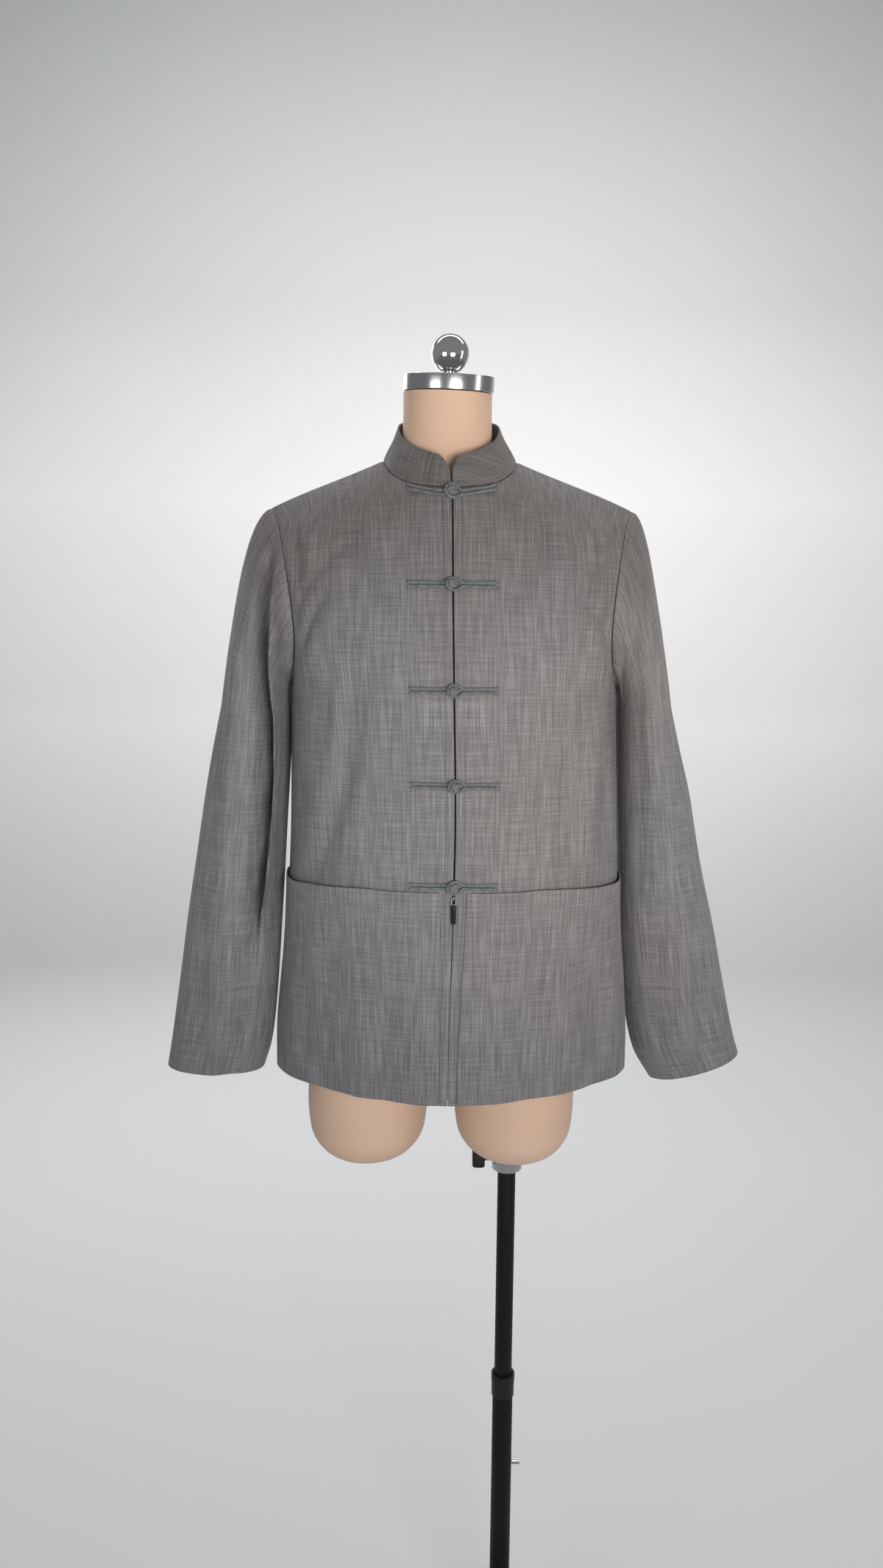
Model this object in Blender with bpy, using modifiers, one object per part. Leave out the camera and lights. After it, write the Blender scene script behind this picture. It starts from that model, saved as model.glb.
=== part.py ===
"""A tang jacket on a limbless dress form with a telescoping stand.

Metres, +Z up. The origin is on the floor, on the axis of the stand's pole. The front
faces -Y and +X is the wearer's left. The jacket and the form are worked out in a
figure frame: x from the form's middle, y to the back, z above the jacket's hem.
"""

import math

import bmesh
import bpy
from mathutils import Matrix, Vector

# ---------------------------------------------------------------- driving dimensions
HEM_HEIGHT = 0.928            # jacket hem above the floor
FORM_OFFSET = 0.090           # from the form's middle to the pole, which enters the left thigh
CLOTH = 0.0018                # wall of the jacket's cloth
TAPE = 0.0010                 # wall of the zip's tape
GAP = 0.0003                  # between neighbouring pieces
SEAM_HALF_GAP = GAP / 2

FRONT_COLUMNS = 8             # faces across one front, and across half of the back
ROW_STEPS = {"skirt": 2, "armhole": 1, "neckline": 2}    # fine rows for each table row

# ---------------------------------------------------------------- jacket tables
# How far the jacket hangs to the wearer's left of the form's middle: height, shift.
SWAY = ((0.00, 0.0130), (0.20, 0.0135), (0.38, 0.0135), (0.50, 0.0105), (0.62, 0.0080),
        (0.73, 0.0065), (0.78, 0.0030), (0.83, 0.0010))
# Where the two fronts meet, beside the jacket's middle: height, shift.
FRONT_LINE = ((0.00, -0.0050), (0.10, -0.0045), (0.22, -0.0015), (0.32, 0.0000), (0.74, 0.0000))
# Half the opening between the fronts: height, half gap.
FRONT_OPENING = ((0.00, 0.0006), (0.22, 0.0007), (0.255, 0.0013), (0.34, 0.0012), (0.74, 0.0014))

# One front from the hem to the shoulder seam. The first three columns are the front edge,
# then the neckline; the next three are the side seam, then the armhole.
# heading is the way a row runs as it reaches the outer edge, in degrees from +X;
# reach_in and reach_out are the lengths of the row's two curve handles.
FRONT_ROWS = (
    # edge_x, edge_y, edge_z, side_x, side_y, side_z, heading, reach_in, reach_out
    (0.000, -0.1400, 0.000, 0.2290, 0.000, 0.000, 90, 0.092, 0.060),
    (0.000, -0.1410, 0.070, 0.2275, 0.000, 0.070, 90, 0.102, 0.067),
    (0.000, -0.1420, 0.160, 0.2190, 0.001, 0.160, 90, 0.116, 0.077),
    (0.000, -0.1420, 0.262, 0.2125, 0.002, 0.262, 90, 0.126, 0.084),
    (0.000, -0.1405, 0.350, 0.2090, 0.003, 0.350, 90, 0.125, 0.086),
    (0.000, -0.1380, 0.435, 0.2070, 0.004, 0.435, 90, 0.125, 0.088),
    (0.000, -0.1355, 0.497, 0.2060, 0.005, 0.497, 90, 0.125, 0.088),
    (0.000, -0.1325, 0.545, 0.1980, -0.038, 0.520, 80, 0.122, 0.060),
    (0.000, -0.1275, 0.600, 0.1930, -0.061, 0.557, 66, 0.118, 0.050),
    (0.000, -0.1195, 0.650, 0.1945, -0.070, 0.600, 52, 0.112, 0.048),
    (0.000, -0.1100, 0.695, 0.2005, -0.063, 0.642, 42, 0.104, 0.050),
    (0.000, -0.1000, 0.733, 0.2070, -0.046, 0.673, 33, 0.094, 0.055),
    (0.047, -0.0800, 0.7405, 0.2130, -0.029, 0.695, 24, 0.060, 0.058),
    (0.073, -0.0440, 0.7575, 0.2190, -0.013, 0.709, 15, 0.045, 0.050),
    (0.083, 0.0100, 0.7800, 0.2260, 0.001, 0.719, 3, 0.045, 0.040),
)
# The back, in the same columns: its middle and the back neckline, then the side and armhole.
BACK_ROWS = (
    (0.000, 0.1260, 0.000, 0.2290, 0.000, 0.000, 90, 0.130, 0.070),
    (0.000, 0.1240, 0.070, 0.2275, 0.000, 0.070, 90, 0.130, 0.070),
    (0.000, 0.1200, 0.160, 0.2190, 0.001, 0.160, 90, 0.128, 0.068),
    (0.000, 0.1180, 0.262, 0.2125, 0.002, 0.262, 90, 0.126, 0.068),
    (0.000, 0.1190, 0.350, 0.2090, 0.003, 0.350, 90, 0.125, 0.069),
    (0.000, 0.1230, 0.435, 0.2070, 0.004, 0.435, 90, 0.125, 0.070),
    (0.000, 0.1260, 0.497, 0.2060, 0.005, 0.497, 90, 0.125, 0.070),
    (0.000, 0.1280, 0.560, 0.2020, 0.044, 0.520, 82, 0.122, 0.050),
    (0.000, 0.1260, 0.620, 0.1990, 0.067, 0.557, 68, 0.118, 0.045),
    (0.000, 0.1170, 0.680, 0.2000, 0.074, 0.600, 54, 0.112, 0.045),
    (0.000, 0.0980, 0.738, 0.2040, 0.066, 0.642, 44, 0.104, 0.048),
    (0.000, 0.0660, 0.787, 0.2090, 0.048, 0.673, 35, 0.094, 0.052),
    (0.035, 0.0625, 0.7868, 0.2145, 0.031, 0.695, 26, 0.070, 0.055),
    (0.066, 0.0430, 0.7845, 0.2195, 0.016, 0.709, 16, 0.050, 0.050),
    (0.083, 0.0100, 0.7800, 0.2260, 0.001, 0.719, 3, 0.045, 0.040),
)
UNDERARM_ROW = 6
NECK_CORNER_ROW = 11

# Sleeve sections below the underarm, in the figure frame. side is +1 for the wearer's left.
# drop is how much lower the inner side of a section hangs than its middle.
SLEEVES = {
    "left": (
        # middle_x, middle_y, middle_z, half_width, half_depth, drop
        (0.2548, 0.010, 0.470, 0.0340, 0.076, 0.004),
        (0.2670, 0.014, 0.390, 0.0425, 0.070, 0.002),
        (0.2800, 0.019, 0.292, 0.0510, 0.062, 0.002),
        (0.2945, 0.023, 0.198, 0.0605, 0.054, 0.003),
        (0.3100, 0.026, 0.098, 0.0670, 0.047, 0.006),
        (0.3250, 0.027, 0.030, 0.0670, 0.043, 0.012),
        (0.3420, 0.027, -0.008, 0.0595, 0.041, 0.018),
    ),
    "right": (
        (0.2400, 0.006, 0.470, 0.0435, 0.078, 0.004),
        (0.2495, 0.004, 0.390, 0.0505, 0.072, 0.002),
        (0.2605, 0.001, 0.292, 0.0565, 0.064, 0.001),
        (0.2710, -0.002, 0.198, 0.0610, 0.056, 0.001),
        (0.2815, -0.004, 0.098, 0.0650, 0.049, 0.001),
        (0.2900, -0.005, 0.035, 0.0660, 0.045, 0.001),
        (0.2985, -0.005, -0.002, 0.0640, 0.043, 0.001),
    ),
}
SLEEVE_CAP_ROWS = 5           # rings between the armhole and the first section
CAP_FULLNESS = {"left": 0.016, "right": 0.026}      # how far the sleeve head stands out at its top
CAP_EASE = 0.010              # and all round
CAP_DROOP = 0.45              # downward share of the way in which it leaves the armhole
CAP_PULL = 0.42               # how much of its height is upright above the first section

# The collar's top edge, from the front to the middle of the back.
COLLAR_TOP = (
    # x, y, z
    (0.0015, -0.0900, 0.7700),
    (0.0280, -0.0770, 0.7780),
    (0.0540, -0.0410, 0.7960),
    (0.0625, 0.0030, 0.8200),
    (0.0450, 0.0390, 0.8330),
    (0.0000, 0.0530, 0.8370),
)
COLLAR_STATIONS = (0.0, 0.012, 0.026, 0.050, *(step / 12 for step in range(1, 13)))
COLLAR_GIRTH = 0.26           # half of the collar, from the front to the middle of the back
COLLAR_CORNER = 0.028         # how far back the collar's front corners are cut away
COLLAR_NOTCH = 0.0155         # and how deep, at the front

FROG_HEIGHTS = (0.726, 0.621, 0.500, 0.390, 0.271)
FROG_REACH = 0.051            # from the front line to a frog's sewn end
FROG_CORD = 0.0019            # radius of the frog's cord
BUTTON_RADIUS = 0.0056
FIRST_FROG_RISE = 0.008      # of its sewn ends, along the slope of the chest

POCKET_MOUTH = 0.262
POCKET_GAPE = 0.0045
# How the mouth rises and dips on its way to the side: share of the front's width, rise in rows.
POCKET_LINE = ((0.00, 0.010), (0.19, 0.024), (0.32, 0.045), (0.55, 0.000), (0.80, -0.035), (0.93, 0.000),
               (1.00, 0.030))

ZIP_SLIDER_HEIGHT = 0.258
ZIP_PIN_PROUD = 0.0034        # the pull's pin, in front of the fronts
ZIP_TAPE_SHARE = 0.4          # width as a share of one of the front's columns, about 13 mm
ZIP_TAPE_SPAN = (0.020, 0.722)

# ---------------------------------------------------------------- form tables
# The torso's level sections: height, half width, front reach, back reach.
TORSO_RINGS = (
    (0.004, 0.1700, 0.094, 0.096),
    (0.022, 0.1775, 0.101, 0.106),
    (0.060, 0.1785, 0.104, 0.110),
    (0.140, 0.1690, 0.100, 0.104),
    (0.220, 0.1560, 0.096, 0.092),
    (0.300, 0.1490, 0.098, 0.086),
    (0.380, 0.1540, 0.106, 0.092),
    (0.460, 0.1650, 0.115, 0.103),
    (0.540, 0.1730, 0.116, 0.110),
    (0.600, 0.1760, 0.108, 0.109),
    (0.650, 0.1790, 0.094, 0.100),
    (0.685, 0.1830, 0.078, 0.086),
    (0.705, 0.1830, 0.066, 0.076),
    (0.720, 0.1680, 0.060, 0.066),
    (0.734, 0.1380, 0.058, 0.058),
    (0.746, 0.1020, 0.060, 0.050),
    (0.758, 0.0740, 0.062, 0.043),
    (0.780, 0.0570, 0.063, 0.036),
    (0.818, 0.0548, 0.070, 0.032),
    (0.854, 0.0545, 0.0805, 0.0265),
)
THIGH_RINGS = (
    # height, half width, half depth
    (0.045, 0.0730, 0.080),
    (-0.030, 0.0790, 0.086),
    (-0.066, 0.0785, 0.086),
    (-0.092, 0.0740, 0.082),
    (-0.110, 0.0620, 0.070),
    (-0.118, 0.0480, 0.055),
    (-0.120, 0.0300, 0.036),
)
FORM_SIDES = 24
TORSO_SQUARENESS = 0.90              # 1 is an ellipse, less is squarer
THIGH_MIDDLE = 0.0975
THIGH_BACK = 0.004
NECK_TILT = math.radians(8.5)        # the neck's end leans to the front
NECK_ROLL = math.radians(1.6)        # and a little to the wearer's left
CAP_CENTRE = Vector((0.0015, -0.027, 0.8640))
CAP_RADIUS = 0.0545
CAP_THICKNESS = 0.018
BALL = {"radius": 0.0228, "lift": 0.002, "stem": 0.0095, "stem_height": 0.0035}

# ---------------------------------------------------------------- stand
SOCKET_TOP = HEM_HEIGHT - 0.1203
SOCKET_HEIGHT = 0.0270
SOCKET_RADIUS = 0.0200
MAST_RADIUS = 0.0120
TUBE_WALL = 0.0015
MAST_BOTTOM = 0.230
LOWER_RADIUS = 0.0139
LOWER_BORE = 0.0124
LOWER_TOP = 0.4620
GUIDE_RADIUS = 0.0160
GUIDE_SPAN = (0.448, 0.480)
SET_SCREW = {"height": 0.345, "radius": 0.0040, "length": 0.0110}
KNOB = {"drop": 0.0147, "azimuth": 180.0, "bolt_radius": 0.0030, "bolt_end": 0.0300,
        "radius": 0.0130, "length": 0.0165}
BASE_RADIUS = 0.180
BASE_THICKNESS = 0.008
HUB_HEIGHT = 0.034
STEEL_SIDES = 28

FIGURE = Vector((-FORM_OFFSET, 0.0, HEM_HEIGHT))
PANELS = {}                   # each front's points and directions, once they are worked out


# ---------------------------------------------------------------- small tools
def read_off(table, place):
    """Read a two-column table at a place in its first column, in straight stretches."""
    if place <= table[0][0]:
        return table[0][1]
    for (low, first), (high, second) in zip(table, table[1:]):
        if place <= high:
            return first + (second - first) * (place - low) / (high - low)
    return table[-1][1]


def smooth_row(rows, place, corners=()):
    """A table row between the rows at whole numbers, on a smooth curve with sharp corners."""
    last = len(rows) - 1
    index = min(int(math.floor(place)), last - 1)
    part = place - index
    values = []
    for column in range(len(rows[0])):
        here, there = rows[index][column], rows[index + 1][column]
        step = there - here
        if index == 0 or index in corners:
            leave = step
        else:
            leave = (there - rows[index - 1][column]) / 2
        if index + 1 == last or index + 1 in corners:
            arrive = step
        else:
            arrive = (rows[index + 2][column] - here) / 2
        values.append(here + leave * part
                      + (3 * step - 2 * leave - arrive) * part ** 2
                      + (leave + arrive - 2 * step) * part ** 3)
    return values


def bezier(a, b, c, d, part):
    rest = 1 - part
    return a * rest ** 3 + b * (3 * rest * rest * part) + c * (3 * rest * part * part) + d * part ** 3


def material(name, colour, roughness, metallic=0.0):
    made = bpy.data.materials.new(name)
    made.use_nodes = True
    shader = made.node_tree.nodes["Principled BSDF"]
    shader.inputs["Base Color"].default_value = (*colour, 1.0)
    shader.inputs["Roughness"].default_value = roughness
    shader.inputs["Metallic"].default_value = metallic
    made.diffuse_color = (*colour, 1.0)
    return made


def place(obj, finish, parent=None, smooth=True):
    """Give an object its material and parent, and put it in the model's collection."""
    obj.data.materials.clear()
    obj.data.materials.append(finish)
    if smooth and obj.type == "MESH":
        obj.data.shade_smooth()
        obj.data.set_sharp_from_angle(angle=math.radians(40))
    for home in list(obj.users_collection):
        home.objects.unlink(obj)
    MODEL.objects.link(obj)
    if parent is not None:
        obj.parent = parent
        obj.matrix_parent_inverse = parent.matrix_world.inverted()
    return obj


def from_bmesh(name, shape):
    bmesh.ops.recalc_face_normals(shape, faces=shape.faces)
    mesh = bpy.data.meshes.new(name)
    shape.to_mesh(mesh)
    shape.free()
    return bpy.data.objects.new(name, mesh)


def empty(name, location, parent=None):
    made = bpy.data.objects.new(name, None)
    made.location = location
    MODEL.objects.link(made)
    if parent is not None:
        made.parent = parent
        made.matrix_parent_inverse = Matrix.Translation(parent.location).inverted()
    bpy.context.view_layer.update()
    return made


# ---------------------------------------------------------------- cloth walls
def grid_normals(grid, ring, core):
    """Directions square to a grid, away from the core point that core(point) gives."""
    height, width = len(grid), len(grid[0])
    normals = []
    for i in range(height):
        line = []
        for j in range(width):
            if ring:
                before, after = grid[i][j - 1], grid[i][(j + 1) % width]
            else:
                before, after = grid[i][max(j - 1, 0)], grid[i][min(j + 1, width - 1)]
            below, above = grid[max(i - 1, 0)][j], grid[min(i + 1, height - 1)][j]
            way = (after - before).cross(above - below).normalized()
            outside = grid[i][j] - core(grid[i][j])
            line.append(way if way.dot(outside) > 0 else -way)
        normals.append(line)
    return normals


def add_wall(shape, outer, inner, ring=False, joined_rows=0):
    """Add a wall between two grids of the same size; its first column has no end face in
    the lowest joined_rows rows, where another wall goes on."""
    height, width = len(outer), len(outer[0])
    front = [[shape.verts.new(point) for point in row] for row in outer]
    rear = [[shape.verts.new(point) for point in row] for row in inner]
    spans = range(width if ring else width - 1)
    for i in range(height - 1):
        for j in spans:
            k = (j + 1) % width
            shape.faces.new((front[i][j], front[i][k], front[i + 1][k], front[i + 1][j]))
            shape.faces.new((rear[i][j], rear[i + 1][j], rear[i + 1][k], rear[i][k]))
    for i in (0, height - 1):
        for j in spans:
            k = (j + 1) % width
            shape.faces.new((front[i][j], front[i][k], rear[i][k], rear[i][j]))
    if not ring:
        for j, first in ((0, joined_rows), (width - 1, 0)):
            for i in range(first, height - 1):
                shape.faces.new((front[i][j], front[i + 1][j], rear[i + 1][j], rear[i][j]))


def wall(name, outer, inner, ring=False):
    shape = bmesh.new()
    add_wall(shape, outer, inner, ring)
    return from_bmesh(name, shape)


def moved(grid, directions, distance):
    return [[point + way * distance for point, way in zip(row, ways)]
            for row, ways in zip(grid, directions)]


# ---------------------------------------------------------------- the jacket's body
def body_point(rows, row_place, across, side, corners):
    """A point of a front or of half the back: across is 0 at the edge and 1 at the side."""
    values = smooth_row(rows, row_place, corners)
    edge_x, edge_y, edge_z, side_x, side_y, side_z, heading, reach_in, reach_out = values
    if rows is FRONT_ROWS and edge_x < 0.02:
        opening = read_off(FRONT_OPENING, edge_z) + side * read_off(FRONT_LINE, edge_z)
        edge_x = opening if edge_x <= 0 else max(edge_x, opening)
    back = 1 if rows is FRONT_ROWS else -1
    edge = Vector((edge_x, edge_y, edge_z))
    outer = Vector((side_x, side_y, side_z))
    turn = math.radians(heading)
    drop = (outer.z - edge.z) / 3
    leave = edge + Vector((reach_in, 0, drop))
    arrive = outer - Vector((math.cos(turn) * reach_out, back * math.sin(turn) * reach_out, drop))
    point = bezier(edge, leave, arrive, outer, across)
    point.y -= back * SEAM_HALF_GAP
    point.x = side * point.x
    point.x += read_off(SWAY, point.z)
    return point


def row_places():
    """The fine rows, with every table row among them."""
    top = len(FRONT_ROWS) - 1
    places = []
    for low, high, steps in ((0, UNDERARM_ROW, ROW_STEPS["skirt"]),
                             (UNDERARM_ROW, NECK_CORNER_ROW, ROW_STEPS["armhole"]),
                             (NECK_CORNER_ROW, top, ROW_STEPS["neckline"])):
        places += [low + step / steps for step in range((high - low) * steps)]
    return places + [float(top)]


def front_point(side, row_place, across):
    return body_point(FRONT_ROWS, row_place, across, side, (UNDERARM_ROW, NECK_CORNER_ROW))


def back_point(side, row_place, across):
    return body_point(BACK_ROWS, row_place, across, side, (UNDERARM_ROW, NECK_CORNER_ROW))


def body_core(point):
    """A point inside the body, level with the given one or below the shoulders."""
    return Vector((read_off(SWAY, point.z), 0.0, min(point.z, 0.55)))


def armhole_out(side, row_place, front):
    """The wall's direction that the pieces share along the side seam and the armhole."""
    if row_place < UNDERARM_ROW:
        return Vector((side, 0, 0))
    up = (row_place - UNDERARM_ROW) / (len(FRONT_ROWS) - 1 - UNDERARM_ROW)
    lift = -math.cos(math.pi * min(1.0, up * 1.2))
    lean = math.sin(math.pi * up) * (-0.9 if front else 0.9)
    return Vector((side * 0.7, lean, 0.7 * lift)).normalized()


def shoulder_out(side):
    """Square to the shoulder seam, in the upright plane that it lies in."""
    neck, tip = Vector(FRONT_ROWS[-1][0:3]), Vector(FRONT_ROWS[-1][3:6])
    run = tip - neck
    return Vector((-side * run.z, 0, run.x)).normalized()


def neck_out(point):
    """Outward and up, shared by the neckline and the collar's lower edge."""
    flat = Vector((point.x - read_off(SWAY, point.z), point.y + 0.02, 0)).normalized()
    return (flat + Vector((0, 0, 1))).normalized()


def panel_half(side, point_at, front):
    """The points of one half's outer face, and the way out of it at each."""
    places = row_places()
    grid = [[point_at(side, row, j / FRONT_COLUMNS) for j in range(FRONT_COLUMNS + 1)]
            for row in places]
    normals = grid_normals(grid, False, body_core)
    normals[-1] = [shoulder_out(side)] * (FRONT_COLUMNS + 1)
    for line, points, row in zip(normals, grid, places):
        line[-1] = armhole_out(side, row, front)
        if row >= NECK_CORNER_ROW:
            line[0] = neck_out(points[0])
        elif not front:
            line[0] = Vector((0, line[0].y, line[0].z)).normalized()
    normals[-1][-1] = shoulder_out(side)
    return grid, normals


def make_front(word, side):
    grid, normals = panel_half(side, front_point, True)
    return wall(f"front_{word}", grid, moved(grid, normals, -CLOTH))


def make_back():
    """Both halves of the back, joined down the middle below the neckline."""
    shape = bmesh.new()
    for side in (-1, 1):
        grid, normals = panel_half(side, back_point, False)
        joined = row_places().index(float(NECK_CORNER_ROW))
        add_wall(shape, grid, moved(grid, normals, -CLOTH), joined_rows=joined)
    bmesh.ops.remove_doubles(shape, verts=shape.verts, dist=0.0003)
    return from_bmesh("back", shape)


# ---------------------------------------------------------------- sleeves
def armhole_loop(side):
    """The armhole from the shoulder tip, down the front, under the arm and up the back."""
    places = [row for row in row_places() if row >= UNDERARM_ROW]
    loop = []
    for row in reversed(places[1:]):
        loop.append((front_point(side, row, 1.0), armhole_out(side, row, True)))
    for row in places[:-1]:
        loop.append((back_point(side, row, 1.0), armhole_out(side, row, False)))
    loop[0] = (loop[0][0], shoulder_out(side))
    for index, shift in ((0, SEAM_HALF_GAP), (len(places) - 1, -SEAM_HALF_GAP)):
        loop[index][0].y += shift
    moved_out = []
    for index, (point, way) in enumerate(loop):
        run = loop[(index + 1) % len(loop)][0] - loop[index - 1][0]
        apart = run.cross(way).normalized() * GAP * 1.3
        moved_out.append((point + (apart if apart.x * side > 0 else -apart), way))
    return moved_out


def sleeve_ring(side, section, count):
    middle_x, middle_y, middle_z, half_width, half_depth, drop = section
    ring = []
    for j in range(count):
        turn = 2 * math.pi * j / count
        ring.append(Vector((side * (middle_x + half_width * math.cos(turn)),
                            middle_y - half_depth * math.sin(turn),
                            middle_z + drop * math.cos(turn))))
    return ring


def sleeve_grid(word, side):
    """The sleeve's outer face as rings from the armhole to the cuff."""
    sections = SLEEVES[word]
    loop = armhole_loop(side)
    count = len(loop)
    first = sleeve_ring(side, sections[0], count)
    rings = []
    for step in range(SLEEVE_CAP_ROWS):
        part = step / SLEEVE_CAP_ROWS
        ring = []
        for j, ((seam, _), end) in enumerate(zip(loop, first)):
            turn = 2 * math.pi * j / count
            top_share = (1 + math.cos(turn)) / 2
            fullness = CAP_EASE + CAP_FULLNESS[word] * top_share
            leave = Vector((side, 0, -CAP_DROOP)).normalized() * fullness
            arrive = Vector((0, 0, 1)) * (seam - end).length * CAP_PULL
            ring.append(bezier(seam, seam + leave, end + arrive, end, part))
        rings.append(ring)
    rings += [sleeve_ring(side, section, count) for section in sections]
    return loop, rings


def make_sleeve(word, side):
    loop, rings = sleeve_grid(word, side)

    def core(point):
        sections = SLEEVES[word]
        for upper, lower in zip(sections, sections[1:]):
            if point.z >= lower[2]:
                return Vector((side * upper[0], upper[1], min(point.z, sections[0][2])))
        return Vector((side * sections[-1][0], sections[-1][1], point.z))

    normals = grid_normals(rings, True, core)
    normals[0] = [way for _, way in loop]
    return wall(f"sleeve_{word}", rings, moved(rings, normals, -CLOTH), ring=True)


# ---------------------------------------------------------------- collar
def neckline(share, side):
    """The panels' neckline edge, from the middle of the front (0) to the middle of the back (1)."""
    places = [row for row in row_places() if row >= NECK_CORNER_ROW]
    edge = [front_point(side, row, 0.0) for row in places]
    edge += [back_point(side, row, 0.0) for row in reversed(places[:-1])]
    along = share * (len(edge) - 1)
    index = min(int(along), len(edge) - 2)
    return edge[index].lerp(edge[index + 1], along - index)


def make_collar():
    halves = []
    for side in (-1, 1):
        half = []
        for share in COLLAR_STATIONS:
            low = neckline(share, side)
            low = low + (Vector((0, 0, math.sqrt(2))) - neck_out(low)).normalized() * GAP * 1.6
            top = Vector(smooth_row(COLLAR_TOP, share * (len(COLLAR_TOP) - 1)))
            top = Vector((side * top.x + read_off(SWAY, top.z), top.y, top.z))
            cut = COLLAR_NOTCH * max(0.0, 1 - share * COLLAR_GIRTH / COLLAR_CORNER) ** 2.4
            top = top + (low - top).normalized() * cut
            column = [low + (top - low) * part for part in (0.0, 0.5, 1.0)]
            half.append(column)
        halves.append(half)
    columns = halves[0] + halves[1][-2::-1]
    grid = [[column[row] for column in columns] for row in range(3)]
    normals = grid_normals(grid, False, lambda point: Vector((0.003, -0.02, point.z - 0.01)))
    normals[0] = [neck_out(point) for point in grid[0]]
    return wall("collar", grid, moved(grid, normals, -CLOTH))


# ---------------------------------------------------------------- what lies on the fronts
def panel_spot(side, row, across):
    """A point of a front's faceted outer face and the wall's direction there."""
    if side not in PANELS:
        PANELS[side] = panel_half(side, front_point, True)
    grid, normals = PANELS[side]
    places = row_places()
    i = max(k for k in range(len(places) - 1) if places[k] <= row)
    up = (row - places[i]) / (places[i + 1] - places[i])
    j = min(int(across * FRONT_COLUMNS), FRONT_COLUMNS - 1)
    out = across * FRONT_COLUMNS - j
    found = []
    for values in (grid, normals):
        low = values[i][j].lerp(values[i][j + 1], out)
        high = values[i + 1][j].lerp(values[i + 1][j + 1], out)
        found.append(low.lerp(high, up))
    return found[0], found[1].normalized()


def row_at_height(height):
    """The row whose end on the front edge is at a height."""
    low, high = 0.0, float(NECK_CORNER_ROW)
    for _ in range(30):
        middle = (low + high) / 2
        if panel_spot(1, middle, 0.0)[0].z < height:
            low = middle
        else:
            high = middle
    return low


def on_front(side, height, along):
    """The spot at a height, so far along its row from the front edge."""
    row = row_at_height(height)
    spot = panel_spot(side, row, 0.0)
    across, walked, step = 0.0, 0.0, 0.01
    while walked < along:
        across += step
        next_spot = panel_spot(side, row, across)
        length = (next_spot[0] - spot[0]).length
        walked += length
        spot = next_spot
    return panel_spot(side, row, across - step * (walked - along) / length) if along > 0 else spot


def make_pocket(word, side):
    """A patch from near the front edge to the side seam, its mouth standing off a little."""
    mouth_row = row_at_height(POCKET_MOUTH)
    rows = [0.02, *[row for row in row_places() if 0 < row < mouth_row - 0.1], mouth_row]
    shares = [0.35, *range(1, FRONT_COLUMNS), FRONT_COLUMNS - 0.06]
    outer, inner = [], []
    for row in rows:
        front_line, back_line = [], []
        for share in shares:
            rise = read_off(POCKET_LINE, share / FRONT_COLUMNS) * row / mouth_row
            point, way = panel_spot(side, row + rise, share / FRONT_COLUMNS)
            stand_off = math.sin(math.pi * share / FRONT_COLUMNS) * max(0.0, row - mouth_row + 1.2)
            gape = GAP * 1.5 + POCKET_GAPE * stand_off
            front_line.append(point + way * (gape + CLOTH))
            back_line.append(point + way * gape)
        outer.append(front_line)
        inner.append(back_line)
    return wall(f"pocket_{word}", outer, inner)


def make_zip_tape(word, side):
    """A strip behind a front's edge."""
    low, high = (row_at_height(height) for height in ZIP_TAPE_SPAN)
    rows = [low, *[row for row in row_places() if low + 0.1 < row < high - 0.1], high]
    outer, inner = [], []
    for row in rows:
        line, rear = [], []
        for share in (0.0, ZIP_TAPE_SHARE):
            point, way = panel_spot(side, row, share / FRONT_COLUMNS)
            line.append(point - way * (CLOTH + 1.5 * GAP))
            rear.append(point - way * (CLOTH + 1.5 * GAP + TAPE))
        outer.append(line)
        inner.append(rear)
    return wall(f"zip_tape_{word}", outer, inner)


def cord(name, points, radius):
    """A round cord through the points."""
    curve = bpy.data.curves.new(name, "CURVE")
    curve.dimensions = "3D"
    curve.bevel_depth = radius
    curve.bevel_resolution = 1
    curve.use_fill_caps = True
    line = curve.splines.new("POLY")
    line.points.add(len(points) - 1)
    for spot, point in zip(line.points, points):
        spot.co = (*point, 1.0)
    return bpy.data.objects.new(name, curve)


def level_spot(side, height, aside):
    """The spot of a front at a height, so far aside of the front line."""
    line = (on_front(1, height, 0.0)[0].x + on_front(-1, height, 0.0)[0].x) / 2
    low, high = 0.0, NECK_CORNER_ROW + 0.9
    for _ in range(20):
        row = (low + high) / 2
        left, right = 0.0, 0.5
        for _ in range(16):
            across = (left + right) / 2
            if side * (panel_spot(side, row, across)[0].x - line) < aside:
                left = across
            else:
                right = across
        spot = panel_spot(side, row, across)
        if spot[0].z < height:
            low = row
        else:
            high = row
    return spot


def frog_point(side, height, along, up, out):
    """A point over the fronts: along is from the front line, also across it when negative."""
    point, way = level_spot(side if along >= 0 else -side, height + up, abs(along))
    return point + way * out


# The two strands of a frog's leg, from the sewn end in: along, up, out.
BUTTON_LEG = ((0.051, 0.0030, 0.0026), (0.046, 0.0024, 0.0026), (0.034, 0.0023, 0.0026),
              (0.022, 0.0023, 0.0026), (0.012, 0.0024, 0.0026), (0.006, 0.0030, 0.0026),
              (0.003, 0.0022, 0.0026))
LOOP_LEG = ((0.051, 0.0030, 0.0026), (0.046, 0.0024, 0.0026), (0.034, 0.0023, 0.0026),
            (0.022, 0.0023, 0.0026), (0.013, 0.0025, 0.0028), (0.0075, 0.0044, 0.0042),
            (0.003, 0.0064, 0.0054), (-0.002, 0.0066, 0.0066), (-0.0055, 0.0042, 0.0074))
LOOP_TURN = ((-0.0068, 0.0, 0.0076),)
BUTTON_OUT = 0.0118


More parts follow.
